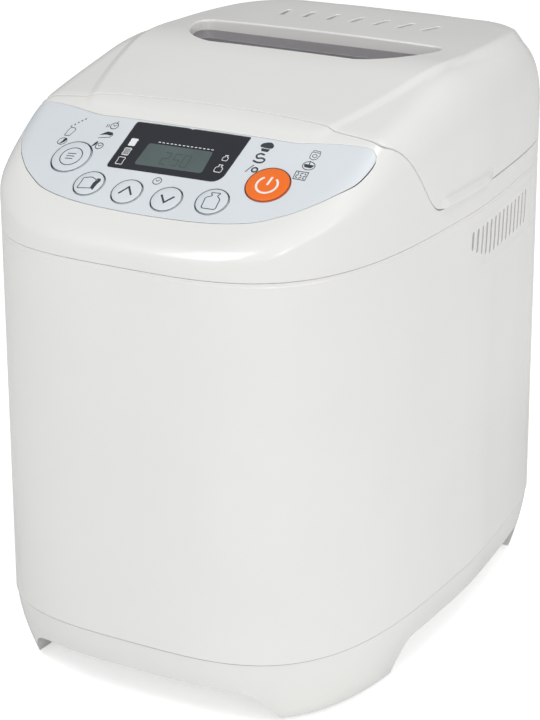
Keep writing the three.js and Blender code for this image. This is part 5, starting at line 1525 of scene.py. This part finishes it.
def hinges():
    """Outer eyes on the frame, and a long eye on the lid between each pair."""
    eye, gap = HINGE["knuckle"], HINGE["gap"]
    inner, outer, y, z = HINGE["inner"], HINGE["outer"], HINGE["y"], HINGE["z"]
    frame_spans = [(inner, inner + eye), (outer - eye, outer)]
    hinge_eyes("frame_hinge_eyes", "root", frame_spans, (y - 4, y + 1.2, z - 9.6, z - gap))
    lid_spans = [(inner + eye + gap, outer - eye - gap)]
    hinge_eyes("lid_hinge_eyes", "lid", lid_spans, (y - 2.4, y + 1, z + gap, z + 4.9))


# ------------------------------------------------------------------ camera, floor and light


def aimed(name, data, place, way):
    """A camera or lamp at a place, facing along a direction."""
    thing = scene_object(name, data)
    thing.location = place
    thing.rotation_mode = "QUATERNION"
    thing.rotation_quaternion = way.to_track_quat("-Z", "Y")
    return thing


def camera():
    """Long lens from the front right and a little above."""
    data = bpy.data.cameras.new("camera")
    data.lens, data.sensor_width = 113.95, 36
    data.clip_start, data.clip_end = 0.05, 30
    target, distance = Vector((-5.83, -3.34, 143.25)) * MM, 1.2843
    back = Vector((0.4662, -0.8139, 0.3467)).normalized()
    bpy.context.scene.camera = aimed("camera", data, target + back * distance, -back)


def floor():
    """Pale floor that glows a little towards the camera alone."""
    mesh = bpy.data.meshes.new("floor")
    mesh.from_pydata([(-9, -9, 0), (9, -9, 0), (9, 9, 0), (-9, 9, 0)], [], [(0, 1, 2, 3)])
    material = bpy.data.materials.new("pale_floor")
    material.use_nodes = True
    tree = material.node_tree
    shader = tree.nodes["Principled BSDF"]
    constants = {"Base Color": (0.93, 0.93, 0.93, 1), "Roughness": 0.9, "Specular IOR Level": 0.1,
                 "Emission Color": (1, 1, 1, 1)}
    for entry, value in constants.items():
        shader.inputs[entry].default_value = value
    seen = add_node(tree, "ShaderNodeLightPath")
    glow = add_node(tree, "ShaderNodeMath", {"operation": "MULTIPLY"}, {1: 0.52})
    wire(tree, (seen, "Is Camera Ray", glow, 0), (glow, 0, shader, "Emission Strength"))
    mesh.materials.append(material)
    ground = scene_object("floor", mesh)


def softbox(name, place, aim, width, height, power):
    data = bpy.data.lights.new(name, "AREA")
    data.shape, data.size, data.size_y, data.energy = "RECTANGLE", width, height, power
    aimed(name, data, place, Vector(aim) - Vector(place))


def studio():
    """White room with four soft lamps. It is brightest low down towards the front right."""
    world = bpy.data.worlds.new("studio")
    bpy.context.scene.world = world
    world.use_nodes = True
    tree = world.node_tree
    sky = tree.nodes["Background"]
    place = add_node(tree, "ShaderNodeTexCoord")
    facing = add_node(tree, "ShaderNodeVectorMath", {"operation": "DOT_PRODUCT"}, {1: (0.72, -0.38, -0.52)})
    ramp = add_node(tree, "ShaderNodeValToRGB")
    dim, bright = ramp.color_ramp.elements
    dim.color, dim.position = (0.42, 0.42, 0.42, 1), 0.1
    bright.color, bright.position = (0.88, 0.875, 0.865, 1), 0.75
    shifted = add_node(tree, "ShaderNodeMapRange", inputs={"From Min": -1.0, "From Max": 1.0})
    wire(tree, (place, "Generated", facing, 0), (facing, "Value", shifted, "Value"),
         (shifted, "Result", ramp, "Fac"), (ramp, "Color", sky, "Color"))
    sky.inputs["Strength"].default_value = 0.8
    softbox("key_light", (-0.6, -1.5, 2.3), (0, 0, 0.2), 1.2, 0.9, 19)
    softbox("side_light", (2.2, -0.5, 1.1), (0, 0, 0.15), 1.1, 1.1, 4)
    softbox("strip_light", (1.7, -1.7, 0.8), (0.05, -0.1, 0.15), 0.22, 1.3, 7)
    softbox("roof_light", (0.9, 0.5, 2.2), (0, 0, 0.2), 0.9, 0.6, 7)
    bpy.context.scene.view_settings.view_transform = "Standard"


finish_nodes()
lid()
window_pane()
frame_moulding()
body()
base()
deck()
hinges()
film()
display()
keys()
panel_print()
display_print()
for foot in ("foot_front_left", "foot_front_right", "foot_rear_left", "foot_rear_right"):
    foot_pad(foot)
camera()
floor()
studio()
